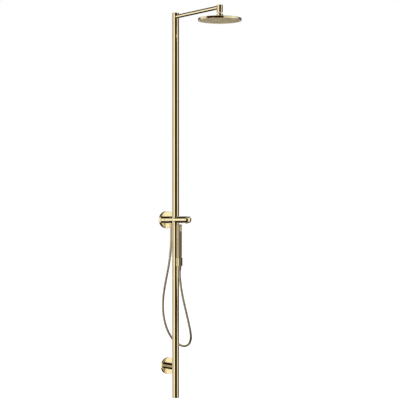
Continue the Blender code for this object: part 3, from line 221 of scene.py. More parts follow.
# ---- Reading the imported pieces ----
def radius_of(node):
    low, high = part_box(node)
    return (high.x - low.x) / 2


def heights(node):
    low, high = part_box(node)
    return low.z, high.z


def from_wall_range(node):
    """The node's nearest and farthest distance from the wall."""
    low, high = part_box(node)
    return -high.y, -low.y


def centre_of(node):
    low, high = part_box(node)
    return (low + high) / 2


COLUMN = -centre_of("upper_column_tube").y
HEAD = -centre_of("head_top_shell").y
HANDSET = -centre_of("handset_inner_pipe").y
OUTLET = -centre_of("hose_outlet_nut").y
ARM_HEIGHT = centre_of("shower_arm").z
COLUMN_RADIUS = radius_of("upper_column_tube")
ARM_RADIUS = radius_of("shower_arm")
BARREL_RADIUS = COLUMN_RADIUS + BARREL_STEP
LOWER_FIXING = centre_of("lower_rosette").z


# ---- Shapes ----
def from_wall(distance, across=0.0, up=0.0):
    return Vector((across, -distance, up))


def rounded(outline, solid):
    """The outline with its corners rounded. A point may give its own rounding as a third value."""
    points = []
    count = len(outline)
    for index, corner in enumerate(outline):
        here = Vector(corner[:2])
        size = corner[2] if len(corner) > 2 else EDGE
        if solid and index in (0, count - 1) or size == 0:
            points.append(here)
            continue
        back = Vector(outline[index - 1][:2]) - here
        ahead = Vector(outline[(index + 1) % count][:2]) - here
        half = back.angle(ahead) / 2
        if half > math.radians(85):
            points.append(here)
            continue
        reach = min(size / math.tan(half), 0.45 * back.length, 0.45 * ahead.length)
        start, end = here + back.normalized() * reach, here + ahead.normalized() * reach
        for step in range(ROUND_STEPS + 1):
            t = step / ROUND_STEPS
            points.append(start * (1 - t) ** 2 + here * (2 * t * (1 - t)) + end * t ** 2)
    return points


def add_object(name, data):
    item = bpy.data.objects.new(name, data)
    bpy.context.scene.collection.objects.link(item)
    return item


def shape_object(shape, name="tool"):
    """An object with the bmesh's shape; tools are cut or joined into a piece and then removed."""
    mesh = bpy.data.meshes.new(name)
    shape.to_mesh(mesh)
    shape.free()
    return add_object(name, mesh)


def new_piece(name, vertices, faces):
    mesh = bpy.data.meshes.new(name)
    mesh.from_pydata(vertices, [], faces)
    shape = bmesh.new()
    shape.from_mesh(mesh)
    bmesh.ops.remove_doubles(shape, verts=shape.verts, dist=1e-7)
    bmesh.ops.recalc_face_normals(shape, faces=shape.faces)
    shape.to_mesh(mesh)
    shape.free()
    return add_object(name, mesh)


def turned(name, outline, place, to_front=False, steps=MEDIUM):
    """A turned piece from (radius, height) corners down its outer side; two on the axis close it."""
    solid = outline[0][0] == 0.0
    points = rounded(outline, solid)
    count = len(points)
    vertices, faces = [], []
    for step in range(steps):
        angle = math.tau * (step + 0.5) / steps
        for radius, height in points:
            x, y = radius * math.cos(angle), radius * math.sin(angle)
            local = Vector((x, -height, y)) if to_front else Vector((x, y, height))
            vertices.append(Vector(place) + local)
    for step in range(steps):
        here, after = step * count, (step + 1) % steps * count
        for index in range(count - 1 if solid else count):
            other = (index + 1) % count
            corners = [here + index, here + other, after + other, after + index]
            if solid and index == 0:
                corners = corners[:3]
            elif solid and index == count - 2:
                corners = [corners[0], corners[1], corners[3]]
            faces.append(corners)
    return new_piece(name, vertices, faces)


def rod(radius, low, high, edge=EDGE):
    return [(0.0, high), (radius, high, edge), (radius, low, edge), (0.0, low)]


def ring(outer, inner, low, high, edge=EDGE):
    return [(outer, high, edge), (outer, low, edge), (inner, low, edge), (inner, high, edge)]


def arc(radius, start_deg, end_deg, count, centre):
    points = []
    for index in range(count + 1):
        angle = math.radians(start_deg + (end_deg - start_deg) * index / count)
        points.append((radius * math.cos(angle), centre + radius * math.sin(angle), 0))
    return points


def cylinder(radius, start, end, steps=SMALL, top_radius=None):
    """A tool: a closed cylinder or cone between two points."""
    start, end = Vector(start), Vector(end)
    shape = bmesh.new()
    bmesh.ops.create_cone(shape, cap_ends=True, segments=steps, radius1=radius,
                          radius2=radius if top_radius is None else top_radius,
                          depth=(end - start).length)
    turn = (end - start).to_track_quat("Z", "Y").to_matrix().to_4x4()
    bmesh.ops.transform(shape, matrix=Matrix.Translation((start + end) / 2) @ turn, verts=shape.verts)
    return shape_object(shape)


def block(low, high):
    low, high = Vector(low), Vector(high)
    shape = bmesh.new()
    bmesh.ops.create_cube(shape, size=1.0)
    bmesh.ops.scale(shape, vec=high - low, verts=shape.verts)
    bmesh.ops.translate(shape, vec=(low + high) / 2, verts=shape.verts)
    return shape_object(shape)


def combine(piece, tool, operation):
    """Applies a Boolean with the tool to the piece's mesh and removes the tool."""
    modifier = piece.modifiers.new("Combine", "BOOLEAN")
    modifier.operation = operation
    modifier.solver = "EXACT"
    modifier.object = tool
    bpy.context.view_layer.update()
    result = bpy.data.meshes.new_from_object(piece.evaluated_get(bpy.context.evaluated_depsgraph_get()))
    piece.modifiers.clear()
    piece.data = result
    bpy.data.objects.remove(tool)
    return piece


def cut(piece, tool):
    return combine(piece, tool, "DIFFERENCE")


def drill(piece, radius, start, end, steps=SMALL):
    return cut(piece, cylinder(radius, start, end, steps))


def column_clearance():
    return cylinder(COLUMN_RADIUS + GAP, from_wall(COLUMN, up=cad_low.z - 0.1),
                    from_wall(COLUMN, up=cad_high.z + 0.1), FINE)


def copies(name, outline, points, steps, turn=None):
    """Many equal turned shapes in one mesh, each at its point."""
    model = turned("model", outline, (0, 0, 0), steps=steps)
    shape = bmesh.new()
    for point in points:
        before = len(shape.verts)
        shape.from_mesh(model.data)
        added = shape.verts[:][before:]
        if turn is not None:
            bmesh.ops.transform(shape, matrix=turn, verts=added)
        bmesh.ops.translate(shape, vec=Vector(point), verts=added)
    bpy.data.objects.remove(model)
    return shape_object(shape, name)


def place(piece, look, body, *nodes):
    """Shades the piece, gives it its finish, and lets it stand for its nodes on their body."""
    piece.data.shade_smooth()
    piece.data.set_sharp_from_angle(angle=SHARP_ANGLE)
    normals = piece.modifiers.new("Normals", "WEIGHTED_NORMAL")
    normals.keep_sharp = True
    normals.weight = 100
    piece.data.materials.clear()
    piece.data.materials.append(look)
    if body is not None:
        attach(piece, body)
    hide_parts(*nodes)
    return piece


# ---- Shader nodes ----
def rgba(colour):
    """Red, green, blue and alpha from a colour, or from one number for a grey."""
    return (*colour, 1.0) if isinstance(colour, tuple) else (colour, colour, colour, 1.0)


def ramp_node(tree, value, stops):
    node = tree.nodes.new("ShaderNodeValToRGB")
    ramp = node.color_ramp
    while len(ramp.elements) > 1:
        ramp.elements.remove(ramp.elements[-1])
    ramp.elements[0].position = stops[0][0]
    ramp.elements[0].color = rgba(stops[0][1])
    for position, colour in stops[1:]:
        ramp.elements.new(position).color = rgba(colour)
    tree.links.new(value, node.inputs["Fac"])
    return node.outputs["Color"]


def math_node(tree, operation, first, second=None):
    node = tree.nodes.new("ShaderNodeMath")
    node.operation = operation
    for socket, value in zip(node.inputs, (first, second)):
        if isinstance(value, (int, float)):
            socket.default_value = value
        elif value is not None:
            tree.links.new(value, socket)
    return node.outputs[0]


def step_node(tree, value, start, end):
    node = tree.nodes.new("ShaderNodeMapRange")
    node.inputs["From Min"].default_value = start
    node.inputs["From Max"].default_value = end
    tree.links.new(value, node.inputs["Value"])
    return node.outputs["Result"]


def colour_mix(tree, share, first, second):
    node = tree.nodes.new("ShaderNodeMix")
    node.data_type = "RGBA"
    for name, value in (("Factor", share), ("A", first), ("B", second)):
        socket = next(entry for entry in node.inputs if entry.enabled and entry.name == name)
        tree.links.new(value, socket)
    return next(socket for socket in node.outputs if socket.enabled)


# ---- Finishes ----
def finish(name, dark, light, rough, metallic=0.0, scale=40.0, grain=400.0, bump=0.02, stretch=None):
    """A procedural finish: colour between two tones, roughness in a range, and a fine grain."""
    material = bpy.data.materials.new(name)
    material.use_nodes = True
    tree = material.node_tree
    link = tree.links.new
    shader = tree.nodes["Principled BSDF"]
    shader.inputs["Metallic"].default_value = metallic
    where = tree.nodes.new("ShaderNodeTexCoord")
    spot = where.outputs["Object"]
    if stretch is not None:
        mapping = tree.nodes.new("ShaderNodeMapping")
        mapping.inputs["Scale"].default_value = stretch
        link(spot, mapping.inputs["Vector"])
        spot = mapping.outputs["Vector"]
    clouds = noise(tree, spot, scale, 3.0)
    link(ramp_node(tree, clouds, [(0.3, dark), (0.7, light)]), shader.inputs["Base Color"])
    fine = noise(tree, spot, grain, 2.0)
    spread = tree.nodes.new("ShaderNodeMapRange")
    spread.inputs["To Min"].default_value = rough[0]
    spread.inputs["To Max"].default_value = rough[1]
    link(fine, spread.inputs["Value"])
    link(spread.outputs["Result"], shader.inputs["Roughness"])
    relief = tree.nodes.new("ShaderNodeBump")
    relief.inputs["Strength"].default_value = bump
    relief.inputs["Distance"].default_value = 0.0002
    link(fine, relief.inputs["Height"])
    link(relief.outputs["Normal"], shader.inputs["Normal"])
    return material


def noise(tree, spot, scale, detail):
    node = tree.nodes.new("ShaderNodeTexNoise")
    node.inputs["Scale"].default_value = scale
    node.inputs["Detail"].default_value = detail
    tree.links.new(spot, node.inputs["Vector"])
    return node.outputs["Fac"]


POLISHED = finish("polished_gold_look", (0.87, 0.73, 0.42), (0.93, 0.80, 0.49), (0.025, 0.055), 1.0,
                  14.0, 500.0, 0.004)
SATIN = finish("satin_gold_look", (0.66, 0.51, 0.20), (0.76, 0.60, 0.27), (0.16, 0.26), 1.0,
               25.0, 900.0, 0.05)
# Painted shade: the lower stem is the same polished gold as the rosette, darkened here to paint in the shade
# that falls on it.
STEM_PAINTED_SHADE_GOLD = finish("stem_gold_painted_shade_look", (0.38, 0.29, 0.14), (0.46, 0.36, 0.19), (0.03, 0.06), 1.0,
                   14.0, 500.0, 0.004)
HANDSET_GOLD = finish("handset_gold_look", (0.40, 0.34, 0.21), (0.47, 0.40, 0.26), (0.08, 0.14), 1.0,
                      18.0, 700.0, 0.02)
HOSE_LOOK = finish("hose_gold_look", (0.58, 0.51, 0.36), (0.68, 0.61, 0.44), (0.12, 0.20), 1.0,
                   60.0, 1200.0, 0.04)
BRASS = finish("raw_brass_look", (0.50, 0.36, 0.16), (0.68, 0.52, 0.27), (0.28, 0.48), 1.0,
               30.0, 900.0, 0.10, (1.0, 0.25, 1.0))
STEEL = finish("stainless_look", (0.46, 0.46, 0.45), (0.60, 0.60, 0.59), (0.22, 0.36), 1.0,
               80.0, 1500.0, 0.06)
RUBBER = finish("black_rubber_look", (0.012, 0.012, 0.012), (0.030, 0.029, 0.028), (0.55, 0.80), 0.0,
                120.0, 1600.0, 0.20)
SILICONE = finish("tan_silicone_look", (0.27, 0.20, 0.075), (0.38, 0.30, 0.125), (0.40, 0.58), 0.0,
                  90.0, 1400.0, 0.12)
PLASTIC = finish("white_plastic_look", (0.76, 0.75, 0.71), (0.84, 0.83, 0.80), (0.36, 0.52), 0.0,
                 60.0, 1500.0, 0.10)
DARK_PLASTIC = finish("dark_plastic_look", (0.045, 0.045, 0.046), (0.075, 0.074, 0.073), (0.42, 0.60),
                      0.0, 90.0, 1800.0, 0.18)
# The finish of each slot; the golds that are left out are polished gold too.
LOOKS = {"polished_gold": POLISHED, "hose_gold": HOSE_LOOK, "raw_brass": BRASS,
         "stainless_steel": STEEL, "black_rubber": RUBBER, "tan_silicone": SILICONE,
         "white_plastic": PLASTIC, "dark_plastic": DARK_PLASTIC}


# ---- Camera ----
def add_camera():
    data = bpy.data.cameras.new("camera")
    data.lens = LENS
    data.sensor_width = SENSOR
    data.shift_y = SHIFT_UP
    data.clip_end = 200.0
    camera = add_object("camera", data)
    aside = Vector((math.cos(VIEW_AZIMUTH), -math.sin(VIEW_AZIMUTH), 0.0))
    ahead = Vector((math.sin(VIEW_AZIMUTH), math.cos(VIEW_AZIMUTH), 0.0))
    camera.location = from_wall(COLUMN, up=VIEW_HEIGHT) + aside * VIEW_SIDE - ahead * VIEW_DISTANCE
    camera.rotation_euler = (math.pi / 2, 0.0, -VIEW_AZIMUTH)
    bpy.context.scene.camera = camera


# ---- Hose ----
def smooth_route(points, pitch):
    """Evenly spaced points on a Catmull-Rom curve through the route's points."""
    knots = [Vector(point) for point in points]
    knots = [2 * knots[0] - knots[1]] + knots + [2 * knots[-1] - knots[-2]]
    fine = []
    for index in range(1, len(knots) - 2):
        before, start, end, after = knots[index - 1:index + 3]
        for part in range(60):
            t = part / 60
            fine.append(0.5 * (2 * start + (end - before) * t
                               + (2 * before - 5 * start + 4 * end - after) * t ** 2
                               + (3 * start - before - 3 * end + after) * t ** 3))
    fine.append(knots[-2])
    lengths = [0.0]
    for first, second in zip(fine, fine[1:]):
        lengths.append(lengths[-1] + (second - first).length)
    count = round(lengths[-1] / pitch)
    spaced = []
    cursor = 0
    for step in range(count + 1):
        target = lengths[-1] * step / count
        while cursor < len(fine) - 2 and lengths[cursor + 1] < target:
            cursor += 1
        share = (target - lengths[cursor]) / (lengths[cursor + 1] - lengths[cursor])
        spaced.append(fine[cursor].lerp(fine[cursor + 1], min(share, 1.0)))
    return spaced


def tube_faces(rings, sides):
    """Faces of a closed tube whose vertices run round one ring after another."""
    faces = [list(range(sides)), [(rings - 1) * sides + side for side in range(sides)]]
    for index in range(rings - 1):
        for side in range(sides):
            after = (side + 1) % sides
            faces.append([index * sides + side, index * sides + after,
                          (index + 1) * sides + after, (index + 1) * sides + side])
    return faces


def add_hose():
    """A metal spiral hose: a round rib runs round the tube as a helix."""
    sides, per_rib = 18, 5
    line = smooth_route(HOSE_ROUTE, HOSE_RIB_PITCH / per_rib)
    across = Vector((1.0, 0.0, 0.0))
    vertices = []
    for index, point in enumerate(line):
        ahead = (line[min(index + 1, len(line) - 1)] - line[max(index - 1, 0)]).normalized()
        across = (across - ahead * across.dot(ahead)).normalized()
        over = ahead.cross(across)
        for side in range(sides):
            angle = math.tau * side / sides
            phase = index / per_rib - side / sides
            radius = HOSE_RADIUS - HOSE_RIB_DEPTH * (1 - abs(math.sin(math.pi * phase)))
            vertices.append(point + (across * math.cos(angle) + over * math.sin(angle)) * radius)
    hose = new_piece("spiral_hose", vertices, tube_faces(len(line), sides))
    place(hose, HOSE_LOOK, None, "hose")
    hose.modifiers.clear()
    end = Vector(HOSE_ROUTE[-1])
    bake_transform(hose, "root", "hose_end", start=end - HOSE_FOLLOW / HOSE_FOLLOW.length_squared, end=end)
    shares = hose.data.attributes["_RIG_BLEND"].data
    for first in range(0, len(shares), sides):      # each ring moves as one, so the hose stays round
        ring = [shares[first + side] for side in range(sides)]
        mean = sum(share.value for share in ring) / sides
        for share in ring:
            share.value = mean
    return hose, line[::per_rib] + [line[-1]]


# ---- Wall fixings ----
def rosette(name, node, hole, seat):
    back, front = from_wall_range(node)
    outer = radius_of(node)
    inner, floor = outer - ROSETTE_WALL, front - ROSETTE_WALL
    outline = [(outer, front, ROSETTE_EDGE), (outer, back), (inner, back), (inner, floor),
               (hole, floor), (hole, front)]
    place(turned(name, outline, (0, 0, seat), True, FINE), POLISHED, "root", node)


def add_upper_fixing():
    rosette("rosette_upper", "upper_rosette", BARREL_RADIUS + GAP, 0.0)
    back, front = from_wall_range("upper_wall_gasket")
    outer = radius_of("upper_wall_gasket")
    place(turned("gasket_ring", ring(outer, outer - GASKET_WIDTH, back, front, FINE_EDGE),
                 (0, 0, 0), True, FINE), RUBBER, "root", "upper_wall_gasket")
    back, front = from_wall_range("upper_wall_plate")
    plate = turned("wall_plate_upper", rod(radius_of("upper_wall_plate"), back, front, SOFT_EDGE),
                   (0, 0, 0), True, FINE)
    for node in ("hot_inlet_union", "cold_inlet_union"):
        across, outer = centre_of(node).x, radius_of(node)
        drill(plate, outer + GAP, from_wall(-front, across), from_wall(2 * front, across))
        for up in (-1, 1):
            slant = WALL_HOLE_CIRCLE * math.sqrt(0.5)
            hole = from_wall(-front, math.copysign(slant, across), up * slant)
            drill(plate, WALL_HOLE, hole, hole + from_wall(3 * front))
            cut(plate, cylinder(COUNTERSINK, hole + from_wall(2 * front + 0.0001),
                                hole + from_wall(2 * front - COUNTERSINK_DEPTH), SMALL, WALL_HOLE))
        low, high = from_wall_range(node)
        place(turned(node + "_sleeve", ring(outer, INLET_PASSAGE, low, high, 0.0006),
                     (across, 0, 0), True), BRASS, "root", node)
    place(plate, BRASS, "root", "upper_wall_plate")


def add_lower_fixing():
    rosette("rosette_lower", "lower_rosette", radius_of("lower_stem") + GAP, LOWER_FIXING)
    outer = radius_of("lower_stem")
    bore = outer - STEM_WALL
    back, front = from_wall_range("lower_stem")
    web = COLUMN - COLUMN_RADIUS - STEM_WEB
    stem = turned("stem_lower", [(0.0, COLUMN), (outer, COLUMN), (outer, back), (bore, back),
                                 (bore, web), (0.0, web)], (0, 0, LOWER_FIXING), True, FINE)
    cut(stem, column_clearance())
    drill(stem, COLUMN_BOLT_HOLE, from_wall(web - THROUGH, up=LOWER_FIXING),
          from_wall(COLUMN, up=LOWER_FIXING))
    screw = centre_of("stem_grub_screw")
    drill(stem, radius_of("stem_grub_screw") + GAP, (screw.x, screw.y, LOWER_FIXING - 2 * outer),
          (screw.x, screw.y, LOWER_FIXING - bore + 0.001), SMALL)
    # The stem takes the darkened gold, which paints shade onto it.
    place(stem, STEM_PAINTED_SHADE_GOLD, "root", "lower_stem")
    low, high = heights("stem_grub_screw")
    grub = turned("grub_screw", rod(radius_of("stem_grub_screw"), low, high, FINE_EDGE),
                  (screw.x, screw.y, 0), steps=SMALL)
    drill(grub, SMALL_SOCKET, (screw.x, screw.y, low - 0.001), (screw.x, screw.y, low + 0.002), HEX)
    place(grub, STEEL, "root", "stem_grub_screw")
    back, front = from_wall_range("lower_wall_plate")
    wide, narrow = radius_of("lower_wall_plate"), bore - GAP
    thick = LOWER_PLATE_DEPTH
    plate = turned("wall_plate_lower",
                   [(0.0, front), (narrow, front), (narrow, thick), (wide, thick, SOFT_EDGE),
                    (wide, back, SOFT_EDGE), (0.0, back)], (0, 0, LOWER_FIXING), True, FINE)
    for up in (-1, 1):
        height = LOWER_FIXING + up * LOWER_HOLE_OFFSET
        drill(plate, WALL_HOLE, from_wall(-thick, up=height), from_wall(2 * thick, up=height))
    place(plate, BRASS, "root", "lower_wall_plate")


# ---- Barrel and controls ----
def add_valve():
    back, nose_front = from_wall_range("valve_body")
    barrel_front = from_wall_range("temperature_handle")[0] - GAP
    flange = radius_of("valve_body")
    outline = [(0.0, nose_front), (BARREL_NOSE, nose_front), (BARREL_NOSE, barrel_front, 0),
               (BARREL_RADIUS, barrel_front), (BARREL_RADIUS, BARREL_FLANGE_FRONT, 0),
               (flange, BARREL_FLANGE_FRONT), (flange, back), (0.0, back)]
    body = turned("barrel", outline, (0, 0, 0), True, FINE)
    stub_end = heights("upper_column_tube")[0] - GAP
    spigot = COLUMN_RADIUS - COLUMN_WALL - GAP
    tip = stub_end + SPIGOT_LENGTH
    stub = turned("stub", [(0.0, tip), (spigot, tip), (spigot, stub_end, 0), (COLUMN_RADIUS, stub_end),
                           (COLUMN_RADIUS, -stub_end), (spigot, -stub_end, 0), (spigot, -tip),
                           (0.0, -tip)], from_wall(COLUMN), steps=FINE - 4)
    combine(body, stub, "UNION")
    boss_low = heights("hose_outlet_nut")[1] + GAP
    boss = turned("boss", [(0.0, 0.0), (BOSS_RADIUS, 0.0, 0), (BOSS_RADIUS, boss_low), (0.0, boss_low)],
                  from_wall(OUTLET), steps=MEDIUM)
    combine(body, boss, "UNION")
    drill(body, CHAMBER_RADIUS, from_wall(CHAMBER_BACK), from_wall(2 * nose_front), MEDIUM)
    drill(body, BARREL_PASSAGE, from_wall(COLUMN), from_wall(COLUMN, up=2 * tip))
    drill(body, OUTLET_PASSAGE, from_wall(OUTLET, up=4 * boss_low),
          from_wall(OUTLET, up=OUTLET_PASSAGE_TOP))
    for node in ("hot_inlet_union", "cold_inlet_union"):
        across = centre_of(node).x
        drill(body, radius_of(node) + GAP, from_wall(0, across),
              from_wall(back + INLET_SOCKET_DEPTH, across))
    place(body, POLISHED, "root", "valve_body")


def add_controls():
    outer = radius_of("temperature_handle")
    back, front = from_wall_range("temperature_handle")
    nut_back, nut_front = from_wall_range("temperature_nut")
    nut = radius_of("temperature_nut") + GAP
    spindle = radius_of("diverter_spindle") + GAP
    bore, head_back = outer - HANDLE_WALL, front - HANDLE_HEAD
    handle = turned("handle_sleeve", [(outer, front), (outer, back), (bore, back), (bore, nut_back, 0),
                                      (nut, nut_back, 0), (nut, nut_front, 0), (bore, nut_front, 0),
                                      (bore, head_back, 0), (spindle, head_back), (spindle, front)],
                    (0, 0, 0), True, FINE)
    button = centre_of("safety_stop_button")
    low, high = heights("safety_stop_button")
    size = radius_of("safety_stop_button")
    drill(handle, size + GAP, (0, button.y, -2 * outer), (0, button.y, -outer + POCKET_DEPTH))
    place(handle, POLISHED, "temperature_handle", "temperature_handle")
    place(turned("stop_button", [(0.0, high), (size, high), (size, low, 0.0012), (0.0, low)],
                 (0, button.y, 0), steps=MEDIUM), POLISHED, "safety_button", "safety_stop_button")
    back, front = from_wall_range("diverter_knob")
    socket = from_wall_range("diverter_spindle")[1] + GAP
    face = outer - SOFT_EDGE
    sphere = (face ** 2 + KNOB_DOME ** 2) / (2 * KNOB_DOME)
    dome = arc(sphere, 90.0, math.degrees(math.acos(face / sphere)), 16, front - sphere)
    shoulder = front - KNOB_DOME
    sides = [(face, shoulder, 0.003), (outer, shoulder - SOFT_EDGE, 0.003), (outer, back),
             (spindle, back), (spindle, socket), (0.0, socket)]
    place(turned("knob", [(0.0, front)] + dome[1:-1] + sides, (0, 0, 0), True, FINE),
          POLISHED, "diverter", "diverter_knob")


def add_button_spring():
    """The stop button's return spring."""
    sides, per_turn = 10, 24
    low, high = heights("safety_button_spring")
    radius = radius_of("safety_button_spring") - SPRING_WIRE
    rings = SPRING_TURNS * per_turn + 1
    rise = (high - low - 2 * SPRING_WIRE) / (rings - 1)
    depth = -centre_of("safety_stop_button").y
    foot = from_wall(depth, up=low + SPRING_WIRE)
    vertices = []
    for index in range(rings):
        angle = math.tau * index / per_turn
        out, up = Vector((math.cos(angle), math.sin(angle), 0.0)), Vector((0.0, 0.0, 1.0))
        for side in range(sides):
            turn = math.tau * side / sides
            vertices.append(foot + out * (radius + SPRING_WIRE * math.cos(turn))
                            + up * (rise * index + SPRING_WIRE * math.sin(turn)))
    spring = new_piece("button_spring", vertices, tube_faces(rings, sides))
    place(spring, STEEL, "temperature_handle", "safety_button_spring")
    spring.modifiers.clear()
    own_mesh(spring)


def add_outlet():
    size = radius_of("hose_outlet_nut")
    low, high = heights("hose_outlet_nut")
    bore = radius_of("hose_outlet_nipple") + GAP
    floor = heights("hose_outlet_nipple")[0] - GAP
    nut = turned("outlet_nut", [(size, high), (size, low, SOFT_EDGE), (HOSE_PASSAGE, low),
                                (HOSE_PASSAGE, floor), (bore, floor), (bore, high)], from_wall(OUTLET))
    return place(nut, POLISHED, "root", "hose_outlet_nut")


# ---- Column, arm and ball joint ----
def add_column():
    bore = COLUMN_RADIUS - COLUMN_WALL
    for side in ("upper", "lower"):
        node = side + "_column_tube"
        low, high = heights(node)
        tube = turned(side + "_tube", ring(COLUMN_RADIUS, bore, low, high, 0.0002), from_wall(COLUMN),
                      steps=FINE)
        if side == "lower":
            height = centre_of("handset_holder").z
            drill(tube, HOLDER_SCREW + GAP, from_wall(COLUMN, up=height), from_wall(HANDSET, up=height))
            drill(tube, COLUMN_BOLT_HOLE, from_wall(COLUMN, up=LOWER_FIXING),
                  from_wall(COLUMN - 2 * COLUMN_RADIUS, up=LOWER_FIXING))
        place(tube, POLISHED, "root", node)
    low, high = heights("column_bottom_cap")
    seam = heights("lower_column_tube")[0] - GAP
    place(turned("bottom_cap", [(0.0, high), (bore - GAP, high), (bore - GAP, seam, 0),
                                (COLUMN_RADIUS, seam, 0.0002), (COLUMN_RADIUS, low, SOFT_EDGE),
                                (0.0, low)],
                 from_wall(COLUMN), steps=FINE), POLISHED, "root", "column_bottom_cap")
    cap_low, top = heights("column_top_cap")
    face = heights("column_head")[1] + GAP
    low = heights("column_head")[0]
    floor = heights("swivel_spigot")[1] + GAP
    head = turned("head_of_column",
                  [(0.0, cap_low - GAP), (CAP_PLUG + GAP, cap_low - GAP), (CAP_PLUG + GAP, face - GAP),
                   (COLUMN_RADIUS, face - GAP, 0.0002), (COLUMN_RADIUS, low, 0.0002),
                   (SWIVEL_SOCKET, low), (SWIVEL_SOCKET, floor), (0.0, floor)],
                  from_wall(COLUMN), steps=FINE)
    drill(head, COLUMN_HEAD_PASSAGE, from_wall(COLUMN, up=low), from_wall(COLUMN, up=ARM_HEIGHT))
    drill(head, ARM_RADIUS + GAP, from_wall(COLUMN - ARM_RADIUS / 2, up=ARM_HEIGHT),
          from_wall(COLUMN + 2 * COLUMN_RADIUS, up=ARM_HEIGHT), MEDIUM)
    place(head, POLISHED, "arm", "column_head")
    place(turned("top_cap", [(0.0, top), (COLUMN_RADIUS, top, SOFT_EDGE), (COLUMN_RADIUS, face, 0.0002),
                             (CAP_PLUG, face, 0), (CAP_PLUG, cap_low), (0.0, cap_low)],
                 from_wall(COLUMN), steps=FINE), POLISHED, "arm", "column_top_cap")


def add_arm():
    connector = radius_of("arm_connector")
    thread_low, top = heights("arm_connector")
    back = from_wall_range("shower_arm")[0]
    bore = ARM_RADIUS - ARM_WALL
    arm = turned("arm_tube", ring(ARM_RADIUS, bore, back, HEAD, 0.0002), (0, 0, ARM_HEIGHT), True, FINE)
    cut(arm, cylinder(connector + GAP, from_wall(HEAD, up=ARM_HEIGHT - 0.03),
                      from_wall(HEAD, up=ARM_HEIGHT + 0.03), FINE))
    place(arm, POLISHED, "arm", "shower_arm")
    nut_low, nut_high = heights("union_nut")
    shoulder = nut_high + GAP
    thread = CONNECTOR_THREAD
    elbow = turned("elbow", [(0.0, top), (connector, top, SOFT_EDGE), (connector, shoulder),
                             (thread, shoulder, 0), (thread, thread_low), (0.0, thread_low)],
                   from_wall(HEAD), steps=FINE)
    entry = from_wall_range("arm_connector")[0]
    combine(elbow, cylinder(bore - GAP, from_wall(entry, up=ARM_HEIGHT), from_wall(HEAD, up=ARM_HEIGHT),
                            MEDIUM), "UNION")
    drill(elbow, ARM_PASSAGE, from_wall(entry - THROUGH, up=ARM_HEIGHT), from_wall(HEAD, up=ARM_HEIGHT))
    drill(elbow, DROP_PASSAGE, from_wall(HEAD, up=thread_low - THROUGH),
          from_wall(HEAD, up=ARM_HEIGHT + ARM_PASSAGE))
    place(elbow, POLISHED, "arm", "arm_connector")
    stem = BALL_STEM
    lip_top = nut_low + UNION_LIP
    place(turned("nut_of_union",
                 [(connector, nut_high), (connector, nut_low, SOFT_EDGE), (stem + GAP, nut_low),
                  (stem + GAP, lip_top), (thread + GAP, lip_top, 0), (thread + GAP, nut_high)],
                 from_wall(HEAD), steps=FINE), POLISHED, "arm", "union_nut")
    flange = radius_of("ball_stud")
    low, high = heights("ball_stud")
    middle = nut_low - BALL_NECK - BALL_RADIUS
    start = math.degrees(math.acos(stem / BALL_RADIUS))
    end = -math.degrees(math.asin((middle - low) / BALL_RADIUS))
    curve = arc(BALL_RADIUS, start, end, 14, middle)
    place(turned("ball_and_stem",
                 [(flange, high), (flange, lip_top + GAP), (stem, lip_top + GAP, 0)] + curve
                 + [(HOSE_PASSAGE, curve[-1][1]), (HOSE_PASSAGE, high)], from_wall(HEAD), steps=FINE),
          POLISHED, "arm", "ball_stud")


# ---- Rain head ----
def add_collar():
    outer = radius_of("collar_nut")
    low, high = heights("collar_nut")
    hollow = arc(COLLAR_CAVITY, -25.0, math.degrees(math.asin(COLLAR_RISE / COLLAR_CAVITY)), 8,
                 high - COLLAR_RISE)
    place(turned("collar", [(outer, high, 0.0008), (outer, low), (hollow[0][0], low)] + hollow,
                 from_wall(HEAD), steps=FINE), POLISHED, "shower_head", "collar_nut")


def add_head():
    outer = radius_of("head_top_shell")
    bottom, boss_top = heights("head_top_shell")
    collar = radius_of("collar_nut")
    base_top = heights("collar_nut")[0] - GAP
    boss = radius_of("ball_seal")
    top = bottom + HEAD_THICKNESS
    plate_low, plate_high = heights("spray_plate")
    ledge = plate_high + GAP
    rim, lip = outer - RIM_WIDTH, outer - RIM_LIP
    shell = turned("rain_head_shell",
                   [(boss, boss_top), (boss, base_top, 0), (collar, base_top), (collar, top, 0.0012),
                    (outer - HEAD_TAPER, top, 0.0014), (outer, bottom, 0.0006), (lip, bottom, 0.0002),
                    (lip, ledge, 0), (rim, ledge), (rim, top - HEAD_SKIN, 0.002),
                    (HEAD_BORE, top - HEAD_SKIN), (HEAD_BORE, boss_top)],
                   from_wall(HEAD), steps=VERY_FINE)
    plate = turned("face_plate", rod(lip - GAP, plate_low, plate_high, FINE_EDGE),
                   from_wall(HEAD), steps=VERY_FINE)
    for index in range(3):
        node = f"spray_plate_screw_{index + 1}"
        spot = centre_of(node)
        low, high = heights(node)
        under = low + PLATE_SCREW_HEAD_DEPTH
        below = (spot.x, spot.y, low - THROUGH)
        drill(plate, PLATE_SCREW + GAP, below, (spot.x, spot.y, high + THROUGH))
        drill(plate, PLATE_SCREW_HEAD + GAP, below, (spot.x, spot.y, under + GAP))
        drill(shell, PLATE_SCREW + GAP, below, (spot.x, spot.y, high + GAP))
        screw = turned(f"plate_screw_{index + 1}",
                       [(0.0, high), (PLATE_SCREW, high), (PLATE_SCREW, under, 0),
                        (PLATE_SCREW_HEAD, under), (PLATE_SCREW_HEAD, low, 0.0005), (0.0, low)],
                       (spot.x, spot.y, 0), steps=SMALL)
        drill(screw, SMALL_SOCKET, (spot.x, spot.y, low - 0.001), (spot.x, spot.y, low + 0.0009), HEX)
        place(screw, STEEL, "shower_head", node)
    place(shell, POLISHED, "shower_head", "head_top_shell")
    points = nozzle_points(outer)
    cut(plate, copies("holes", rod(NOZZLE_RADIUS + GAP, plate_low - 0.002, plate_high + 0.002, 0),
                      points, TINY))
    place(plate, SATIN, "shower_head", "spray_plate")
    add_nozzles(points)


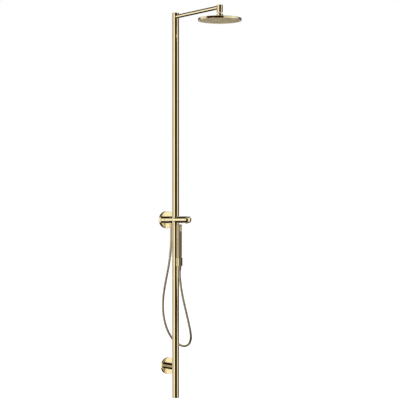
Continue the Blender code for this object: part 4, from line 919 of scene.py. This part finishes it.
def nozzle_points(outer):
    """Rings of nozzles about the head's axis, on the plane z = 0."""
    points = []
    pitch = (outer - NOZZLE_MARGIN) / NOZZLE_RINGS
    for number in range(1, NOZZLE_RINGS + 1):
        count = NOZZLES_PER_RING * number
        for index in range(count):
            angle = math.tau * index / count
            points.append(from_wall(HEAD - number * pitch * math.cos(angle),
                                    number * pitch * math.sin(angle)))
    return points


def add_nozzles(points):
    low, high = heights("nozzle_mat")
    mat_low = heights("spray_plate")[1] + GAP
    mat = turned("silicone_mat", rod(radius_of("nozzle_mat"), mat_low, high, FINE_EDGE),
                 from_wall(HEAD), steps=MEDIUM)
    root, inside = mat_low + NOZZLE_ROOT, low + NOZZLE_BORE_DEPTH
    outline = [(0.0, root), (NOZZLE_RADIUS, root, 0), (NOZZLE_RADIUS, low + NOZZLE_TIP, 0.0003),
               (NOZZLE_TIP_RADIUS, low, 0.0004), (NOZZLE_BORE, low, 0.0001), (NOZZLE_BORE, inside, 0),
               (0.0, inside)]
    combine(mat, copies("tips", outline, points, TINY - 4), "UNION")
    place(mat, SILICONE, "shower_head", "nozzle_mat")


# ---- Hand shower and its holder ----
def add_handset():
    outer = radius_of("handset_shell")
    low, high = heights("handset_shell")
    bore = outer - HANDSET_WALL
    inside = high - HANDSET_END
    shell = turned("hand_shower_shell", [(0.0, high), (outer, high, 0.0022), (outer, low), (bore, low),
                                         (bore, inside), (0.0, inside)],
                   from_wall(HANDSET), steps=FINE)
    spray_low, spray_high = heights("handset_spray_insert")
    cut(shell, block((-SPRAY_HALF_WIDTH, -HANDSET - 2 * outer, spray_low - GAP),
                     (SPRAY_HALF_WIDTH, -HANDSET - outer / 2, spray_high + GAP)))
    place(shell, HANDSET_GOLD, "handset", "handset_shell")
    insert = turned("spray_insert", ring(outer - GAP, outer - SPRAY_WALL, spray_low - SPRAY_MARGIN,
                                         spray_high + SPRAY_MARGIN, 0), from_wall(HANDSET), steps=FINE)
    combine(insert, block((-SPRAY_HALF_WIDTH + GAP, -HANDSET - 2 * outer, spray_low),
                          (SPRAY_HALF_WIDTH - GAP, -HANDSET - outer / 2, spray_high)), "INTERSECT")
    points = []
    for column in SPRAY_COLUMNS:
        surface = math.sqrt(outer ** 2 - column ** 2)
        for row in range(SPRAY_ROWS):
            height = spray_low + (spray_high - spray_low) * (row + 0.5) / SPRAY_ROWS
            points.append(from_wall(HANDSET + surface, column, height))
    proud, root = SPRAY_NOZZLE_PROUD, -SPRAY_NOZZLE_ROOT
    tip = [(0.0, proud), (SPRAY_NOZZLE_BORE, proud, 0), (SPRAY_NOZZLE, proud, 0.0002),
           (SPRAY_NOZZLE, root, 0), (0.0, root)]
    forward = Matrix.Rotation(math.pi / 2, 4, "X")
    combine(insert, copies("tips", tip, points, TINY - 8, forward), "UNION")
    place(insert, SILICONE, "handset", "handset_spray_insert")
    add_handset_foot(low, bore)


def add_handset_foot(shoulder, bore):
    thread_low, plug_top = heights("handset_foot")
    foot, foot_low = radius_of("hose_cone"), heights("hose_cone")[1] + GAP
    outline = [(bore - GAP, plug_top), (bore - GAP, shoulder - GAP, 0), (foot, shoulder - GAP, 0.0003),
               (foot, foot_low, 0.0003), (HANDSET_THREAD, foot_low, 0), (HANDSET_THREAD, thread_low),
               (HANDSET_PASSAGE, thread_low), (HANDSET_PASSAGE, plug_top)]
    place(turned("foot", outline, from_wall(HANDSET), steps=FINE),
          HANDSET_GOLD, "handset", "handset_foot")


def add_cone():
    size = radius_of("hose_cone")
    low, high = heights("hose_cone")
    bore, floor = HANDSET_THREAD + GAP, heights("handset_foot")[0] - GAP
    cone = turned("cone_nut",
                  [(size, high, 0.0003), (size, (low + high) / 2, 0.004), (CONE_FOOT, low, 0.0006),
                   (HOSE_PASSAGE, low), (HOSE_PASSAGE, floor, 0), (bore, floor, 0), (bore, high)],
                  from_wall(HANDSET), steps=FINE)
    return place(cone, HANDSET_GOLD, "hose_end", "hose_cone")


def fork_outline(outer, inner, half, inset):
    """A ring open to the front, seen from above, drawn in by an inset."""
    outer, inner, half = outer - inset, inner + inset, half + inset
    steps = 56
    points = []
    for radius, way in ((outer, 1), (inner, -1)):
        open_angle = math.asin(min(half / radius, 1.0))
        start, end = -math.pi / 2 + open_angle, 1.5 * math.pi - open_angle
        for step in range(steps + 1):
            share = step / steps if way == 1 else 1 - step / steps
            angle = start + (end - start) * share
            points.append((radius * math.cos(angle), radius * math.sin(angle)))
    return points


def fork(name, outer, inner, half, low, high, edge):
    """The open ring between two heights, with rounded upper and lower edges."""
    layers = []
    for step in range(ROUND_STEPS + 1):
        turn = math.pi / 2 * step / ROUND_STEPS
        layers.append((edge * (1 - math.sin(turn)), low + edge * (1 - math.cos(turn))))
    layers += [(inset, high + low - height) for inset, height in reversed(layers)]
    vertices, faces = [], []
    for inset, height in layers:
        vertices += [from_wall(HANDSET, x, height) + Vector((0, y, 0))
                     for x, y in fork_outline(outer, inner, half, inset)]
    count = len(vertices) // len(layers)
    for layer in range(len(layers) - 1):
        for index in range(count):
            after = (index + 1) % count
            faces.append([layer * count + index, layer * count + after,
                          (layer + 1) * count + after, (layer + 1) * count + index])
    half_count = count // 2
    for base in (0, (len(layers) - 1) * count):
        for index in range(half_count - 1):
            mirrored = base + count - 1 - index
            faces.append([base + index, base + index + 1, mirrored - 1, mirrored])
    return new_piece(name, vertices, faces)


def add_holder():
    low, high = heights("handset_holder")
    middle = (low + high) / 2
    cup = radius_of("holder_liner") + GAP
    holder = fork("holder_cup", HOLDER_RADIUS, cup, cup, low, high, 0.0008)
    axis, front = from_wall(COLUMN, up=middle), from_wall(HANDSET, up=middle)
    neck = cylinder(HOLDER_NECK, axis, from_wall(HANDSET - cup - 0.001, up=middle), MEDIUM)
    combine(holder, neck, "UNION")
    cut(holder, column_clearance())
    drill(holder, HOLDER_SCREW + GAP, axis, front)
    screw_back, screw_front = from_wall_range("holder_screw")
    under = screw_front - HOLDER_SCREW_HEAD_DEPTH
    drill(holder, HOLDER_SCREW_HEAD + GAP, from_wall(under - GAP, up=middle), front)
    place(holder, POLISHED, "root", "handset_holder")
    screw = turned("holder_fixing_screw",
                   [(0.0, screw_front), (HOLDER_SCREW_HEAD, screw_front, 0.0006),
                    (HOLDER_SCREW_HEAD, under), (HOLDER_SCREW, under, 0), (HOLDER_SCREW, screw_back),
                    (0.0, screw_back)],
                   (0, 0, middle), True, SMALL)
    drill(screw, LARGE_SOCKET, from_wall(screw_front - 0.0014, up=middle),
          from_wall(screw_front + THROUGH, up=middle), HEX)
    place(screw, STEEL, "root", "holder_screw")


# ---- Pieces that keep their CAD shape ----
def dress_nodes():
    """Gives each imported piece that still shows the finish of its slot."""
    for name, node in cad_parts.items():
        if node.hide_render:
            continue
        current = node.data.materials[0].name if node.data.materials else ""
        look = next((LOOKS[slot] for slot in LOOKS if current.startswith(slot)), None)
        if look is None:
            raise ValueError(f"{name} has no finish for {current}")
        for slot in node.material_slots:
            slot.material = look


# ---- Studio ----
def add_floor():
    """A pale floor that can be seen through from below."""
    shape = bmesh.new()
    bmesh.ops.create_grid(shape, x_segments=1, y_segments=1, size=FLOOR_SIZE / 2)
    floor = shape_object(shape, "floor")
    floor.location = (0.0, 0.0, cad_low.z - FLOOR_DROP)
    floor.visible_glossy = False
    material = bpy.data.materials.new("pale_floor")
    material.use_nodes = True
    shader = material.node_tree.nodes["Principled BSDF"]
    shader.inputs["Base Color"].default_value = (0.93, 0.93, 0.93, 1.0)
    shader.inputs["Roughness"].default_value = 0.9
    shader.inputs["Emission Color"].default_value = (1.0, 1.0, 1.0, 1.0)
    shader.inputs["Emission Strength"].default_value = FLOOR_GLOW
    nodes, links = material.node_tree.nodes, material.node_tree.links
    clear, mix = nodes.new("ShaderNodeBsdfTransparent"), nodes.new("ShaderNodeMixShader")
    links.new(nodes.new("ShaderNodeNewGeometry").outputs["Backfacing"], mix.inputs["Fac"])
    links.new(shader.outputs["BSDF"], mix.inputs[1])
    links.new(clear.outputs["BSDF"], mix.inputs[2])
    links.new(mix.outputs["Shader"], nodes["Material Output"].inputs["Surface"])
    floor.data.materials.append(material)


def add_light(name, spot, aim, size, power):
    data = bpy.data.lights.new(name, "AREA")
    data.shape = "DISK"
    data.size = size
    data.energy = power
    light = add_object(name, data)
    light.location = spot
    light.rotation_euler = (Vector(aim) - Vector(spot)).to_track_quat("-Z", "Y").to_euler()
    light.visible_glossy = False


# Brightness or colour of the studio by the angle round the object, in degrees to the camera's right:
# low down, from a little above the horizon, and for light that comes by way of a second piece.
DARK = (0.040, 0.020, 0.001)
ECHO = (1.15, 1.35, 2.2)
SIDE_ECHO = (0.90, 1.00, 1.45)
LOW_WALLS = [(-180, 0.55), (-160, 0.14), (-124, 0.08), (-116, 1.15), (-107, 1.15), (-100, 0.30),
             (-80, 0.60), (-58, 0.70), (-48, 1.40), (-30, 1.40), (-25, DARK), (49, DARK), (54, 0.34),
             (60, 1.10), (74, 1.10), (84, 0.30), (92, 0.03), (160, 0.05), (180, 0.55)]
HIGH_WALLS = [(-180, 0.05), (-150, 0.05), (-138, 0.95), (-82, 1.00), (-70, DARK), (16, DARK),
              (26, 1.0), (118, 1.0), (130, 0.05), (180, 0.05)]
ECHO_WALLS = [(-180, SIDE_ECHO), (-32, SIDE_ECHO), (-26, DARK), (-14, DARK), (-11, ECHO), (11, ECHO),
              (14, DARK), (48, DARK), (58, SIDE_ECHO), (180, SIDE_ECHO)]
# Brightness by height, as the sine of the elevation, and where the high walls take over.
LEVELS = [(-1.0, 0.55), (-0.92, 0.55), (-0.80, 0.03), (-0.42, 0.03), (-0.25, 1.0), (0.25, 1.0),
          (0.38, 0.05), (0.54, 0.05), (0.62, 0.55), (0.80, 0.80), (0.92, 1.0), (1.0, 1.0)]
HIGH_START, HIGH_END = 0.19, 0.26
FIRST_BOUNCE = 2.5  # the world sees a ray's first reflection at depth 2
STEEP_START, STEEP_END = 0.62, 0.72  # past these sines the walls end in a plain ceiling and floor


def add_world():
    """White for the camera and for matt surfaces, and a studio of light and dark walls for gloss."""
    world = bpy.data.worlds.new("studio")
    bpy.context.scene.world = world
    world.use_nodes = True
    tree = world.node_tree
    link = tree.links.new
    tree.nodes.clear()
    out = tree.nodes.new("ShaderNodeOutputWorld")
    direction = tree.nodes.new("ShaderNodeTexCoord").outputs["Generated"]
    turn = tree.nodes.new("ShaderNodeVectorRotate")
    turn.rotation_type = "Z_AXIS"
    turn.inputs["Angle"].default_value = VIEW_AZIMUTH
    link(direction, turn.inputs["Vector"])
    parts = tree.nodes.new("ShaderNodeSeparateXYZ")
    link(turn.outputs["Vector"], parts.inputs["Vector"])
    to_camera = math_node(tree, "MULTIPLY", parts.outputs["Y"], -1.0)
    angle = math_node(tree, "ARCTAN2", parts.outputs["X"], to_camera)
    share = math_node(tree, "ADD", math_node(tree, "DIVIDE", angle, math.tau), 0.5)
    low, high, echo = (
        ramp_node(tree, share, [((degrees + 180) / 360, colour) for degrees, colour in stops])
        for stops in (LOW_WALLS, HIGH_WALLS, ECHO_WALLS))
    path = tree.nodes.new("ShaderNodeLightPath")
    above = step_node(tree, parts.outputs["Z"], HIGH_START, HIGH_END)
    steep = step_node(tree, math_node(tree, "ABSOLUTE", parts.outputs["Z"]), STEEP_START, STEEP_END)
    walls = colour_mix(tree, above, low, high)
    second = math_node(tree, "GREATER_THAN", path.outputs["Ray Depth"], FIRST_BOUNCE)
    walls = colour_mix(tree, second, walls, echo)
    white = tree.nodes.new("ShaderNodeRGB")
    white.outputs["Color"].default_value = (1.0, 1.0, 1.0, 1.0)
    walls = colour_mix(tree, steep, walls, white.outputs["Color"])
    height = math_node(tree, "ADD", math_node(tree, "MULTIPLY", parts.outputs["Z"], 0.5), 0.5)
    levels = ramp_node(tree, height, [((sine + 1) / 2, colour) for sine, colour in LEVELS])
    product = tree.nodes.new("ShaderNodeVectorMath")
    product.operation = "MULTIPLY"
    link(walls, product.inputs[0])
    link(levels, product.inputs[1])
    studio = tree.nodes.new("ShaderNodeBackground")
    link(product.outputs["Vector"], studio.inputs["Color"])
    plain = tree.nodes.new("ShaderNodeBackground")
    plain.inputs["Color"].default_value = (1.0, 1.0, 1.0, 1.0)
    mix = tree.nodes.new("ShaderNodeMixShader")
    link(path.outputs["Is Glossy Ray"], mix.inputs["Fac"])
    link(plain.outputs["Background"], mix.inputs[1])
    link(studio.outputs["Background"], mix.inputs[2])
    link(mix.outputs["Shader"], out.inputs["Surface"])


# ---- Assembly ----
add_camera()
hose, hose_line = add_hose()
outlet_nut = add_outlet()
cone_nut = add_cone()
add_upper_fixing()
add_lower_fixing()
add_valve()
add_controls()
add_button_spring()
add_column()
add_arm()
add_collar()
add_head()
add_handset()
add_holder()
dress_nodes()
add_floor()
add_light("overhead", (-1.5, -3.0, 4.0), (0.0, -0.3, 0.0), 5.0, 300.0)
add_world()
bpy.context.scene.view_settings.view_transform = "Standard"
